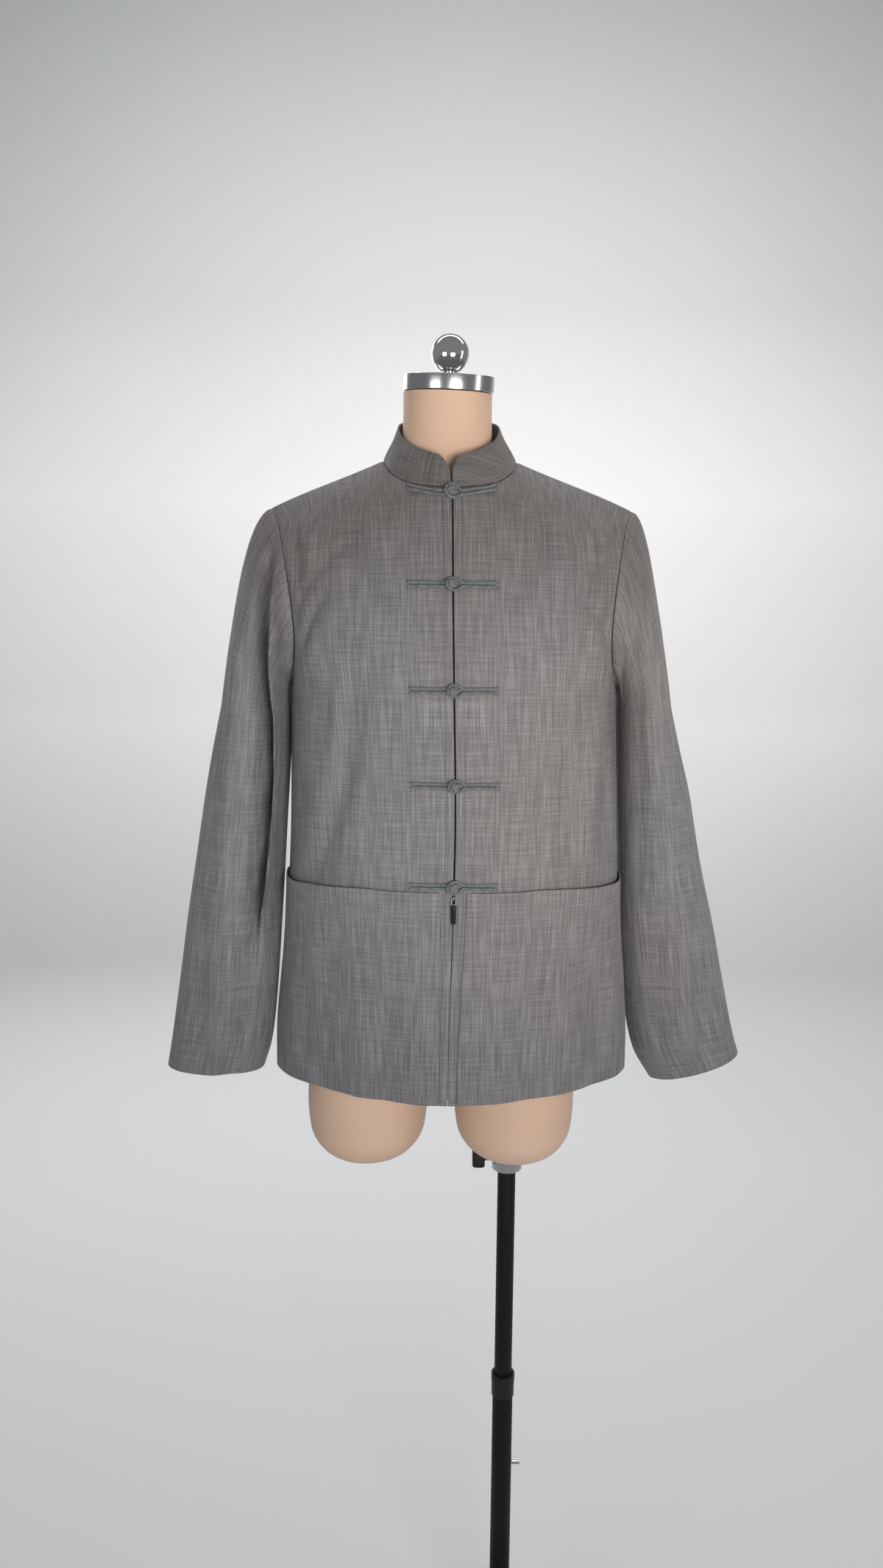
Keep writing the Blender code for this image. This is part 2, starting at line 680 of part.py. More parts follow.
def make_frog(number, height):
    """One knotted fastener: the button's leg, the loop's leg and the knotted button."""
    bend = FIRST_FROG_RISE if number == 1 else 0.0
    pieces = []
    for word, side, strand, turn in (("button_leg", -1, BUTTON_LEG, ()),
                                     ("loop_leg", 1, LOOP_LEG, LOOP_TURN)):
        route = [*strand, *turn, *[(along, -up, out) for along, up, out in reversed(strand)]]
        points = []
        for along, up, out in route:
            lift = bend * (max(0.0, along) / FROG_REACH) ** 2
            points.append(frog_point(side, height, along, up + lift, out))
        pieces.append(cord(f"frog_{number}_{word}", points, FROG_CORD))
    middle, way = on_front(1, height, 0.0)
    other, _ = on_front(-1, height, 0.0)
    shape = bmesh.new()
    bmesh.ops.create_uvsphere(shape, u_segments=10, v_segments=6, radius=BUTTON_RADIUS)
    bmesh.ops.scale(shape, vec=(1.0, 0.86, 1.0), verts=shape.verts)
    centre = (middle + other) / 2 + way * BUTTON_OUT
    bmesh.ops.translate(shape, vec=centre, verts=shape.verts)
    pieces.append(from_bmesh(f"frog_{number}_button", shape))
    return pieces


# ---------------------------------------------------------------- zip slider and pull
def zip_axis():
    """The pin that the pull swings on, in the figure frame."""
    left, way = on_front(1, ZIP_SLIDER_HEIGHT, 0.0)
    right, _ = on_front(-1, ZIP_SLIDER_HEIGHT, 0.0)
    middle = (left + right) / 2
    return Vector((middle.x, middle.y - ZIP_PIN_PROUD, middle.z))


def box(shape, size, centre):
    made = bmesh.ops.create_cube(shape, size=1.0)["verts"]
    bmesh.ops.scale(shape, vec=size, verts=made)
    bmesh.ops.translate(shape, vec=centre, verts=made)
    return made


def union(first, second, keep_name):
    """Join two solid objects into one."""
    for obj in (first, second):
        bpy.context.scene.collection.objects.link(obj)
    join = first.modifiers.new("join", "BOOLEAN")
    join.operation = "UNION"
    join.solver = "EXACT"
    join.object = second
    bpy.context.view_layer.update()
    mesh = bpy.data.meshes.new_from_object(
        first.evaluated_get(bpy.context.evaluated_depsgraph_get()))
    for obj in (first, second):
        bpy.data.objects.remove(obj)
    mesh.name = keep_name
    return bpy.data.objects.new(keep_name, mesh)


SLIDER = {"width": 0.0080, "height": 0.0110, "depth": 0.0030, "bail": 0.0014,
          "bail_out": 0.0026, "bail_in": 0.0013, "clear": 0.0004}
PULL = {"pin": 0.0006, "window": 0.0064, "width": 0.0066, "bar": 0.0012, "thick": 0.0014,
        "link": 0.0113, "tab": 0.0233, "tab_width": 0.0072, "tab_tip": 0.0052, "tab_thick": 0.0022}


def make_zip_slider(axis):
    """The slider behind the fronts, with a bail that passes between them."""
    behind = axis.y + ZIP_PIN_PROUD + CLOTH + 2 * GAP + TAPE + SLIDER["clear"]
    body = bmesh.new()
    box(body, (SLIDER["width"], SLIDER["depth"], SLIDER["height"]),
        (axis.x, behind + SLIDER["depth"] / 2, axis.z))
    bail = bmesh.new()
    sides = 14
    rings = []
    for x in (-SLIDER["bail"] / 2, SLIDER["bail"] / 2):
        for radius in (SLIDER["bail_out"], SLIDER["bail_in"]):
            rings.append([bail.verts.new((axis.x + x,
                                          axis.y + radius * math.cos(2 * math.pi * k / sides),
                                          axis.z + radius * math.sin(2 * math.pi * k / sides)))
                          for k in range(sides)])
    for a, b in ((0, 1), (1, 3), (3, 2), (2, 0)):
        for k in range(sides):
            m = (k + 1) % sides
            bail.faces.new((rings[a][k], rings[a][m], rings[b][m], rings[b][k]))
    ring = from_bmesh("bail", bail)
    stem_from = axis.y + SLIDER["bail_in"] + 0.0005
    stem = bmesh.new()
    box(stem, (SLIDER["bail"] * 0.96, behind + 0.001 - stem_from, 0.0030),
        (axis.x, (behind + 0.001 + stem_from) / 2, axis.z))
    whole = union(from_bmesh("slider", body), from_bmesh("stem", stem), "slider_stem")
    return union(whole, ring, "zip_slider")


def make_zip_pull(axis):
    """A link round the bail with a tab below it, hanging in front of the jacket."""
    half = PULL["width"] / 2
    link = bmesh.new()
    box(link, (PULL["width"], PULL["thick"], PULL["link"]), (0, 0, PULL["pin"] - PULL["link"] / 2))
    window = bmesh.new()
    box(window, (PULL["width"] - 2 * PULL["bar"], PULL["thick"] * 3, PULL["window"]),
        (0, 0, -PULL["pin"] - PULL["window"] / 2))
    tab = bmesh.new()
    box(tab, (PULL["tab_width"], PULL["tab_thick"], PULL["tab"]),
        (0, -0.0002, PULL["pin"] - PULL["link"] + 0.003 - PULL["tab"] / 2))
    for vert in tab.verts:
        if vert.co.z < -PULL["link"] - 0.005:
            vert.co.x *= PULL["tab_tip"] / PULL["tab_width"]
    whole = from_bmesh("link", link)
    hole = from_bmesh("window", window)
    for obj in (whole, hole):
        bpy.context.scene.collection.objects.link(obj)
    cut = whole.modifiers.new("window", "BOOLEAN")
    cut.operation = "DIFFERENCE"
    cut.solver = "EXACT"
    cut.object = hole
    bpy.context.view_layer.update()
    mesh = bpy.data.meshes.new_from_object(
        whole.evaluated_get(bpy.context.evaluated_depsgraph_get()))
    bpy.data.objects.remove(whole)
    bpy.data.objects.remove(hole)
    made = union(bpy.data.objects.new("link", mesh), from_bmesh("tab", tab), "zip_pull")
    made.location = axis
    return made


# ---------------------------------------------------------------- the dress form
def loft(name, rings):
    """A closed solid through rings of points, capped at both ends."""
    shape = bmesh.new()
    rows = [[shape.verts.new(point) for point in ring] for ring in rings]
    count = len(rings[0])
    for low, high in zip(rows, rows[1:]):
        for k in range(count):
            m = (k + 1) % count
            shape.faces.new((low[k], low[m], high[m], high[k]))
    shape.faces.new(rows[0])
    shape.faces.new(rows[-1])
    return from_bmesh(name, shape)


def torso_ring(height, half_width, front, back, count):
    ring = []
    for k in range(count):
        turn = 2 * math.pi * k / count
        x = math.copysign(abs(math.cos(turn)) ** TORSO_SQUARENESS, math.cos(turn)) * half_width
        reach = back if math.sin(turn) > 0 else front
        y = math.copysign(abs(math.sin(turn)) ** TORSO_SQUARENESS, math.sin(turn)) * reach
        ring.append(Vector((x, y, height)))
    return ring


def make_form():
    count = FORM_SIDES
    rings = [torso_ring(*ring, count) for ring in TORSO_RINGS]
    neck_from = TORSO_RINGS[-3][0]
    tilt = Matrix.Rotation(NECK_ROLL, 3, "Y") @ Matrix.Rotation(NECK_TILT, 3, "X")
    for ring in rings:
        share = max(0.0, (ring[0].z - neck_from) / (TORSO_RINGS[-1][0] - neck_from))
        for k, point in enumerate(ring):
            flat = Vector((point.x, point.y - CAP_CENTRE.y, 0))
            ring[k] = point + (tilt @ flat - flat) * share
    form = loft("torso", rings)
    for side in (-1, 1):
        thigh = [[Vector((side * THIGH_MIDDLE + half_width * math.cos(2 * math.pi * k / count),
                          THIGH_BACK + half_depth * math.sin(2 * math.pi * k / count), height))
                  for k in range(count)] for height, half_width, half_depth in THIGH_RINGS]
        form = union(form, loft("thigh", thigh), "form_torso")
    return form


def tilted(shape, centre):
    turn = Matrix.Rotation(NECK_ROLL, 4, "Y") @ Matrix.Rotation(NECK_TILT, 4, "X")
    bmesh.ops.transform(shape, matrix=Matrix.Translation(centre) @ turn, verts=shape.verts)


def make_neck_cap():
    shape = bmesh.new()
    bmesh.ops.create_cone(shape, cap_ends=True, segments=STEEL_SIDES, radius1=CAP_RADIUS,
                          radius2=CAP_RADIUS, depth=CAP_THICKNESS)
    tilted(shape, CAP_CENTRE)
    return from_bmesh("neck_cap", shape)


def turned(name, profile, location=(0, 0, 0)):
    """A profile of (radius, height) points turned about Z; closed when it ends off the axis."""
    mesh = bpy.data.meshes.new(name)
    points = [(radius, 0, height) for radius, height in profile]
    closed = profile[0][0] > 0
    edges = [(k, k + 1) for k in range(len(points) - 1)]
    if closed:
        edges.append((len(points) - 1, 0))
    mesh.from_pydata(points, edges, [])
    obj = bpy.data.objects.new(name, mesh)
    obj.location = location
    screw = obj.modifiers.new("turn", "SCREW")
    screw.steps = screw.render_steps = STEEL_SIDES
    screw.use_merge_vertices = True
    screw.merge_threshold = 0.00001
    screw.use_smooth_shade = True
    return obj


def make_ball():
    """The finial: a ball on a short stem."""
    low = CAP_THICKNESS / 2 + GAP
    centre = low + BALL["radius"] + BALL["lift"]
    arc = [(BALL["radius"] * math.sin(math.radians(turn)),
            centre + BALL["radius"] * math.cos(math.radians(turn))) for turn in range(0, 151, 15)]
    profile = [*arc, (BALL["stem"], low + BALL["stem_height"]), (BALL["stem"], low), (0.0, low)]
    shape = bmesh.new()
    rings = []
    top = shape.verts.new((0, 0, profile[0][1]))
    for radius, height in profile[1:-1]:
        rings.append([shape.verts.new((radius * math.cos(2 * math.pi * k / STEEL_SIDES),
                                       radius * math.sin(2 * math.pi * k / STEEL_SIDES), height))
                      for k in range(STEEL_SIDES)])
    for k in range(STEEL_SIDES):
        shape.faces.new((top, rings[0][k], rings[0][(k + 1) % STEEL_SIDES]))
    for high, lower in zip(rings, rings[1:]):
        for k in range(STEEL_SIDES):
            m = (k + 1) % STEEL_SIDES
            shape.faces.new((high[k], lower[k], lower[m], high[m]))
    shape.faces.new(rings[-1])
    tilted(shape, CAP_CENTRE)
    return from_bmesh("neck_ball", shape)


# ---------------------------------------------------------------- the stand
def make_socket():
    """The cup under the left thigh that takes the mast."""
    top, low = 0.0, -SOCKET_HEIGHT
    bore = MAST_RADIUS + GAP
    return turned("form_socket", ((bore, low), (bore, top - 0.003), (0.004, top - 0.003),
                                  (0.004, top), (SOCKET_RADIUS - 0.001, top), (SOCKET_RADIUS, top - 0.001),
                                  (SOCKET_RADIUS, low + 0.001), (SOCKET_RADIUS - 0.001, low)),
                  (0, 0, SOCKET_TOP))


def make_mast():
    top = SOCKET_TOP - 0.003 - GAP
    inner = MAST_RADIUS - TUBE_WALL
    return turned("mast_tube", ((0.0, top), (MAST_RADIUS, top), (MAST_RADIUS, MAST_BOTTOM),
                                (inner, MAST_BOTTOM), (inner, top - 0.002), (0.0, top - 0.002)))


def make_lower_tube():
    low = BASE_THICKNESS + GAP
    return turned("lower_tube", ((LOWER_RADIUS, LOWER_TOP), (LOWER_RADIUS, low),
                                 (LOWER_BORE, low), (LOWER_BORE, LOWER_TOP)))


def make_guide_ring():
    low, top = GUIDE_SPAN
    shelf = LOWER_TOP + GAP
    wide, narrow = LOWER_RADIUS + GAP, LOWER_BORE + 0.0001
    edge = 0.0008
    return turned("guide_ring", ((narrow, top), (GUIDE_RADIUS - edge, top), (GUIDE_RADIUS, top - edge),
                                 (GUIDE_RADIUS, low + edge), (GUIDE_RADIUS - edge, low),
                                 (wide, low), (wide, shelf), (narrow, shelf)))


def make_base_plate():
    edge = 0.002
    return turned("base_plate", ((0.0, BASE_THICKNESS), (BASE_RADIUS - edge, BASE_THICKNESS),
                                 (BASE_RADIUS, BASE_THICKNESS - edge), (BASE_RADIUS, 0.0), (0.0, 0.0)))


def make_base_hub():
    low = BASE_THICKNESS + GAP
    bore = LOWER_RADIUS + GAP
    return turned("base_hub", ((bore, low + HUB_HEIGHT), (bore + 0.0045, low + HUB_HEIGHT),
                               (bore + 0.0065, low + HUB_HEIGHT - 0.003), (bore + 0.0090, low + 0.010),
                               (0.034, low + 0.006), (0.036, low + 0.004), (0.036, low), (bore, low)))


def rod(name, radius, length, sides=20):
    """A round bar from the origin along +Z."""
    shape = bmesh.new()
    bmesh.ops.create_cone(shape, cap_ends=True, segments=sides, radius1=radius, radius2=radius,
                          depth=length)
    bmesh.ops.translate(shape, vec=(0, 0, length / 2), verts=shape.verts)
    return from_bmesh(name, shape)


def make_clamp():
    """The clamp's bolt and its black knob, on one axis that points at the pole."""
    turn = math.radians(KNOB["azimuth"])
    away = Vector((math.cos(turn), math.sin(turn), 0))
    start = Vector((0, 0, SOCKET_TOP - KNOB["drop"])) + away * (SOCKET_RADIUS + GAP)
    aim = away.to_track_quat("Z", "Y")
    bolt = rod("clamp_bolt", KNOB["bolt_radius"], KNOB["bolt_end"] - SOCKET_RADIUS - 2 * GAP)
    knob = rod("clamp_knob", KNOB["radius"], KNOB["length"], 24)
    for vert in knob.data.vertices:
        index = round(math.atan2(vert.co.y, vert.co.x) / (2 * math.pi / 24))
        if index % 3 == 0:
            vert.co.x *= 0.88
            vert.co.y *= 0.88
    for obj, along in ((bolt, SOCKET_RADIUS + GAP), (knob, KNOB["bolt_end"])):
        obj.rotation_mode = "QUATERNION"
        obj.rotation_quaternion = aim
        obj.location = Vector((0, 0, start.z)) + away * along
    return bolt, knob


def make_set_screw():
    obj = rod("set_screw", SET_SCREW["radius"], SET_SCREW["length"], 16)
    obj.rotation_euler = (0, math.pi / 2, 0)
    obj.location = (LOWER_RADIUS + GAP, 0, SET_SCREW["height"])
    return obj


# ---------------------------------------------------------------- assembly
for leftover in list(bpy.data.objects):
    bpy.data.objects.remove(leftover)
MODEL = bpy.data.collections.new("tang_jacket_on_dress_form")
bpy.context.scene.collection.children.link(MODEL)

WOOL = material("grey_suiting", (0.27, 0.275, 0.285), 0.85)
CORD_CLOTH = material("grey_cord", (0.22, 0.225, 0.235), 0.8)
TAPE_CLOTH = material("dark_tape", (0.06, 0.06, 0.07), 0.8)
JERSEY = material("beige_jersey", (0.80, 0.62, 0.45), 0.7)
STEEL = material("brushed_steel", (0.62, 0.62, 0.62), 0.3, 1.0)
CHROME = material("chrome", (0.80, 0.80, 0.82), 0.06, 1.0)
BLACK_PAINT = material("black_paint", (0.02, 0.02, 0.022), 0.35)
BLACK_PLASTIC = material("black_plastic", (0.03, 0.03, 0.03), 0.5)
GREY_METAL = material("grey_casting", (0.45, 0.46, 0.47), 0.4, 0.8)

mast_slide = empty("mast_height", (0, 0, LOWER_TOP))
form_turn = empty("form_turn", (0, 0, SOCKET_TOP), mast_slide)
figure = empty("figure", FIGURE, form_turn)


def on_figure(obj, finish):
    """Put an object that was worked out in the figure frame where the figure stands."""
    obj.location = obj.location + FIGURE
    return place(obj, finish, figure)


on_figure(make_back(), WOOL)
on_figure(make_collar(), WOOL)
for word, side in (("left", 1), ("right", -1)):
    on_figure(make_front(word, side), WOOL)
    on_figure(make_sleeve(word, side), WOOL)
    on_figure(make_pocket(word, side), WOOL)
    on_figure(make_zip_tape(word, side), TAPE_CLOTH)
for number, height in enumerate(FROG_HEIGHTS, 1):
    for piece in make_frog(number, height):
        on_figure(piece, CORD_CLOTH)
pin = zip_axis()
on_figure(make_zip_slider(pin), GREY_METAL)
zip_swing = empty("zip_pull_swing", pin + FIGURE, figure)
pull = make_zip_pull(pin)
pull.location = pin + FIGURE
place(pull, BLACK_PLASTIC, zip_swing)

on_figure(make_form(), JERSEY)
on_figure(make_neck_cap(), STEEL)
on_figure(make_ball(), CHROME)

place(make_socket(), GREY_METAL, form_turn)
clamp_bolt, clamp_knob = make_clamp()
place(clamp_bolt, GREY_METAL, form_turn)
place(clamp_knob, BLACK_PLASTIC, form_turn)
place(make_mast(), BLACK_PAINT, mast_slide)
place(make_lower_tube(), BLACK_PAINT)
place(make_guide_ring(), BLACK_PLASTIC)
place(make_set_screw(), STEEL)
place(make_base_plate(), BLACK_PAINT)
place(make_base_hub(), BLACK_PAINT)
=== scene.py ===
import math
from bisect import bisect_right

import bmesh
import bpy
from mathutils import Matrix, Vector, noise


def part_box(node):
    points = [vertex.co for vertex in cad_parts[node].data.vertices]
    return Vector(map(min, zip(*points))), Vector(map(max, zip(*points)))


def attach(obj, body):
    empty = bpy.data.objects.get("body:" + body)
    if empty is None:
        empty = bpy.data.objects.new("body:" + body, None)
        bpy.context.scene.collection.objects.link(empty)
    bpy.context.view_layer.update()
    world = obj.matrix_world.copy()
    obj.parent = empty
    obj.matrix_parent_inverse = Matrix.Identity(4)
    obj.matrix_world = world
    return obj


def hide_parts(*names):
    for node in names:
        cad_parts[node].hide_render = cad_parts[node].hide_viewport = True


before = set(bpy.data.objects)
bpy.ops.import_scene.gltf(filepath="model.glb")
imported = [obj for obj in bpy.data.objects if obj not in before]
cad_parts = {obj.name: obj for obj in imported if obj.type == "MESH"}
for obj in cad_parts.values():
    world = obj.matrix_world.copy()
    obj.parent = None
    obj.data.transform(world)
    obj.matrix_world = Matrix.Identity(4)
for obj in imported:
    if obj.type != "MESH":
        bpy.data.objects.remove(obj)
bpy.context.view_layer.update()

# A grey tang jacket on a limbless dress form with a telescoping stand, in metres.
# The figure frame has x from the form's middle, y to the back and z above the jacket's hem.

formLow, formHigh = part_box("form_torso")
formDrop = 0.120              # from the hem down to the end of the thighs
figureAt = Vector(((formLow[0] + formHigh[0]) / 2, 0.0, formLow[2] + formDrop))


# ---- camera, light and room
camera = {"location": (-0.093, -1.41, 1.49), "pitch": 7.6, "roll": 0.55, "lens": 25.34, "sensor": 36.0}
room = {"front": -5.0, "floorEnd": 3.4, "sweepRadius": 1.2, "height": 5.0, "halfWidth": 6.0,
        # painted light and shade on the sweep, darker on the floor and high on the wall, from the floor up to
        # the top of the wall: height, colour
        "sweepLightAndShade": ((0.0, (0.54, 0.545, 0.55)), (1.0, (0.82, 0.815, 0.81)), (2.2, (0.83, 0.82, 0.815)),
                  (3.2, (0.60, 0.615, 0.61)), (4.6, (0.50, 0.515, 0.51)))}
lamps = (
    # name, location, aims at, width, height, power, colour
    ("key", (0.42, -1.68, 1.30), (0.0, 0.0, 1.36), 0.7, 0.6, 19, (1.0, 0.98, 0.96)),
    ("fill", (-1.3, -1.75, 1.34), (-0.1, 0.0, 1.34), 0.9, 0.8, 7, (0.98, 0.99, 1.0)),
    ("strip", (2.6, -0.6, 1.5), (0.0, 0.0, 1.3), 0.35, 1.8, 10, (1.0, 0.98, 0.96)),
    ("rear", (-1.4, 2.6, 2.4), (0.0, 0.0, 1.2), 1.8, 1.4, 24, (0.97, 0.98, 1.0)),
    ("wallWash", (0.0, 0.9, 3.9), (0.0, 4.6, 1.2), 4.0, 1.0, 175, (1.0, 0.99, 0.98)),
)
world = {"colour": (0.90, 0.91, 0.93), "strength": 0.24}


def addCamera():
    data = bpy.data.cameras.new("camera")
    data.lens = camera["lens"]
    data.sensor_width = camera["sensor"]
    made = placed("camera", data)
    made.matrix_world = (Matrix.Translation(camera["location"])
                         @ Matrix.Rotation(math.radians(90 - camera["pitch"]), 4, "X")
                         @ Matrix.Rotation(math.radians(camera["roll"]), 4, "Z"))
    bpy.context.scene.camera = made


def addLamps():
    for name, location, target, width, height, power, colour in lamps:
        data = bpy.data.lights.new(name, "AREA")
        data.shape = "RECTANGLE"
        data.size = width
        data.size_y = height
        data.energy = power
        data.color = colour
        made = placed(name, data)
        made.location = location
        made.rotation_euler = (Vector(target) - Vector(location)).to_track_quat("-Z", "Y").to_euler()
    sky = bpy.data.worlds.new("studio")
    sky.use_nodes = True
    back = sky.node_tree.nodes["Background"]
    back.inputs["Color"].default_value = (*world["colour"], 1)
    back.inputs["Strength"].default_value = world["strength"]
    bpy.context.scene.world = sky
    bpy.context.scene.view_settings.view_transform = "Standard"


def addRoom():
    # one floor that sweeps up into the wall behind
    profile = [(room["front"], 0.0), (room["floorEnd"], 0.0)]
    steps = 24
    for step in range(1, steps + 1):
        turn = math.pi / 2 * step / steps
        profile.append((room["floorEnd"] + room["sweepRadius"] * math.sin(turn),
                        room["sweepRadius"] * (1 - math.cos(turn))))
    profile.append((profile[-1][0], room["height"]))
    mesh = bpy.data.meshes.new("studioSweep")
    points = [(x, y, z) for y, z in profile for x in (-room["halfWidth"], room["halfWidth"])]
    faces = [(2 * k, 2 * k + 1, 2 * k + 3, 2 * k + 2) for k in range(len(profile) - 1)]
    mesh.from_pydata(points, [], faces)
    mesh.shade_smooth()
    mesh.materials.append(roomPaint())
    placed("studioSweep", mesh)


# ---- helpers for objects and nodes
def placed(name, data):
    made = bpy.data.objects.new(name, data)
    bpy.context.scene.collection.objects.link(made)
    return made


def evaluatedMesh(obj):
    # the object's shape with its modifiers, as a new mesh
    bpy.context.view_layer.update()
    graph = bpy.context.evaluated_depsgraph_get()
    return bpy.data.meshes.new_from_object(obj.evaluated_get(graph), depsgraph=graph)


def circle(count, radiusX, radiusY=None):
    # places round the origin, from +x towards +y
    turns = [2 * math.pi * k / count for k in range(count)]
    return [(radiusX * math.cos(turn), (radiusX if radiusY is None else radiusY) * math.sin(turn))
            for turn in turns]


def skin(shape, low, high):
    # a band of faces between two rings
    for k in range(len(low)):
        m = (k + 1) % len(low)
        shape.faces.new((low[k], low[m], high[m], high[k]))


def newMaterial(name):
    made = bpy.data.materials.new(name)
    made.use_nodes = True
    tree = made.node_tree
    return made, tree, tree.nodes["Principled BSDF"]


def put(tree, kind, **settings):
    node = tree.nodes.new(kind)
    for key, value in settings.items():
        setattr(node, key, value)
    return node


def join(tree, source, target):
    tree.links.new(source, target)


def setInputs(node, values):
    for word, value in values.items():
        node.inputs[word].default_value = value


def inPiece(tree):
    # places in the object's own metres
    return put(tree, "ShaderNodeTexCoord").outputs["Object"]


def heightOf(tree, place, span):
    # how high a place is, as a share of the span
    apart = put(tree, "ShaderNodeSeparateXYZ")
    join(tree, place, apart.inputs[0])
    return math2(tree, "DIVIDE", apart.outputs["Z"], span)


def math2(tree, operation, first, second):
    # a Math node on two sockets or numbers
    node = put(tree, "ShaderNodeMath", operation=operation)
    for place, value in enumerate((first, second)):
        if isinstance(value, (int, float)):
            node.inputs[place].default_value = value
        else:
            join(tree, value, node.inputs[place])
    return node.outputs[0]


def streaks(tree, coordinate, scale, offset, detail=2.0, rough=0.5):
    # noise that is stretched by the scales along u and v
    shift = put(tree, "ShaderNodeMapping")
    setInputs(shift, {"Location": (offset, offset * 0.37, offset * 0.11), "Scale": scale})
    join(tree, coordinate, shift.inputs["Vector"])
    grain = put(tree, "ShaderNodeTexNoise")
    setInputs(grain, {"Scale": 1.0, "Detail": detail, "Roughness": rough})
    join(tree, shift.outputs[0], grain.inputs["Vector"])
    return grain.outputs["Fac"]


def ramp(tree, value, stops):
    node = put(tree, "ShaderNodeValToRGB")
    line = node.color_ramp
    while len(line.elements) < len(stops):
        line.elements.new(0.5)
    for element, (spot, colour) in zip(line.elements, stops):
        element.position = spot
        element.color = (*colour, 1)
    join(tree, value, node.inputs["Fac"])
    return node.outputs["Color"]


def multiplied(tree, first, second):
    # two colours, each a socket or three numbers
    node = put(tree, "ShaderNodeMix", data_type="RGBA", blend_type="MULTIPLY")
    node.inputs[0].default_value = 1.0
    for place, value in ((6, first), (7, second)):
        if isinstance(value, tuple):
            node.inputs[place].default_value = (*value, 1)
        else:
            join(tree, value, node.inputs[place])
    return node.outputs[2]


def bump(tree, shader, height, distance, strength=1.0, under=None):
    node = put(tree, "ShaderNodeBump")
    setInputs(node, {"Distance": distance, "Strength": strength})
    join(tree, height, node.inputs["Height"])
    if under is not None:
        join(tree, under, node.inputs["Normal"])
    join(tree, node.outputs[0], shader.inputs["Normal"])
    return node.outputs[0]


# ---- finishes
def roomPaint():
    made, tree, shader = newMaterial("palePaint")
    place = inPiece(tree)
    # painted light and shade on the one sweep, by height
    sweepLightAndShade = ramp(tree, heightOf(tree, place, room["height"]),
                 tuple((height / room["height"], colour) for height, colour in room["sweepLightAndShade"]))
    cloud = streaks(tree, place, (0.5, 0.5, 0.5), 3.0)
    veil = ramp(tree, cloud, ((0.35, (0.965, 0.975, 0.98)), (0.65, (1.0, 1.0, 1.0))))
    join(tree, multiplied(tree, sweepLightAndShade, veil), shader.inputs["Base Color"])
    setInputs(shader, {"Roughness": 0.9, "Specular IOR Level": 0.2})
    return made


wool = {
    "dark": (0.136, 0.130, 0.129), "middle": (0.220, 0.210, 0.206), "light": (0.338, 0.326, 0.320),
    "warm": (1.018, 0.994, 0.982), "cool": (0.980, 0.998, 1.020),
    # painted light and shade over the whole cloth, darker at the hem and the shoulders and lighter across the
    # chest, from the hem up: share of toneSpan, colour
    "shade": ((0.46, (0.74, 0.76, 0.80)), (0.60, (0.98, 0.985, 1.0)), (0.72, (1.05, 1.035, 1.03)),
              (0.82, (0.78, 0.77, 0.765))),
    # widths and lengths of the slubs, as repeats for each metre across and along them
    "fineSlub": (560.0, 20.0), "broadSlub": (240.0, 8.0), "thread": 1250.0,
    # how much each kind of thread adds to the tone, their usual total, and the contrast about it
    "warp": 1.06, "weft": 0.70, "warpBand": 0.16, "weftBand": 0.08, "melange": 0.52,
    "usual": 1.26, "contrast": 1.25,
}
toneSpan = 2.0                # the height in metres that the painted light and shade of cloth and form are shares of


def woolCloth(name, darker=1.0):
    # worsted suiting with uneven threads both ways, from the pieces' own uv in metres
    made, tree, shader = newMaterial(name)
    grainOf = put(tree, "ShaderNodeUVMap", uv_map="grain").outputs["UV"]
    thin, longWay = wool["fineSlub"]
    wide, far = wool["broadSlub"]
    warp = streaks(tree, grainOf, (thin, longWay, 1), 11.0, 1.0)
    weft = streaks(tree, grainOf, (longWay, thin, 1), 27.0, 1.0)
    warpBand = streaks(tree, grainOf, (wide, far, 1), 5.0, 3.0, 0.65)
    weftBand = streaks(tree, grainOf, (far, wide, 1), 41.0, 3.0, 0.65)
    melange = streaks(tree, grainOf, (wool["thread"], wool["thread"], 1), 3.0, 1.0)
    total = math2(tree, "MULTIPLY", warp, wool["warp"])
    for part, word in ((weft, "weft"), (warpBand, "warpBand"), (weftBand, "weftBand"), (melange, "melange")):
        total = math2(tree, "ADD", total, math2(tree, "MULTIPLY", part, wool[word]))
    about = math2(tree, "MULTIPLY", math2(tree, "SUBTRACT", total, wool["usual"]), wool["contrast"])
    tone = ramp(tree, math2(tree, "ADD", about, 0.5),
                ((0.0, wool["dark"]), (0.5, wool["middle"]), (1.0, wool["light"])))
    place = inPiece(tree)
    slow = streaks(tree, place, (4.2, 4.2, 3.0), 8.0, 1.0)
    colour = multiplied(tree, tone, ramp(tree, slow, ((0.40, wool["cool"]), (0.60, wool["warm"]))))
    # painted light and shade by height, from the ramp above
    colour = multiplied(tree, colour, ramp(tree, heightOf(tree, place, toneSpan), wool["shade"]))
    # darker makes a shaded copy of the same cloth: painted shade
    if darker != 1.0:
        colour = multiplied(tree, colour, (darker, darker, darker))
    join(tree, colour, shader.inputs["Base Color"])
    setInputs(shader, {"Roughness": 0.72, "Specular IOR Level": 0.22, "Sheen Weight": 0.12,
                       "Sheen Roughness": 0.45})
    drape = streaks(tree, place, (14.0, 14.0, 9.0), 2.0, 2.0)
    soft = bump(tree, shader, drape, 0.0016, 0.6)
    bump(tree, shader, total, 0.00035, 0.8, soft)
    return made


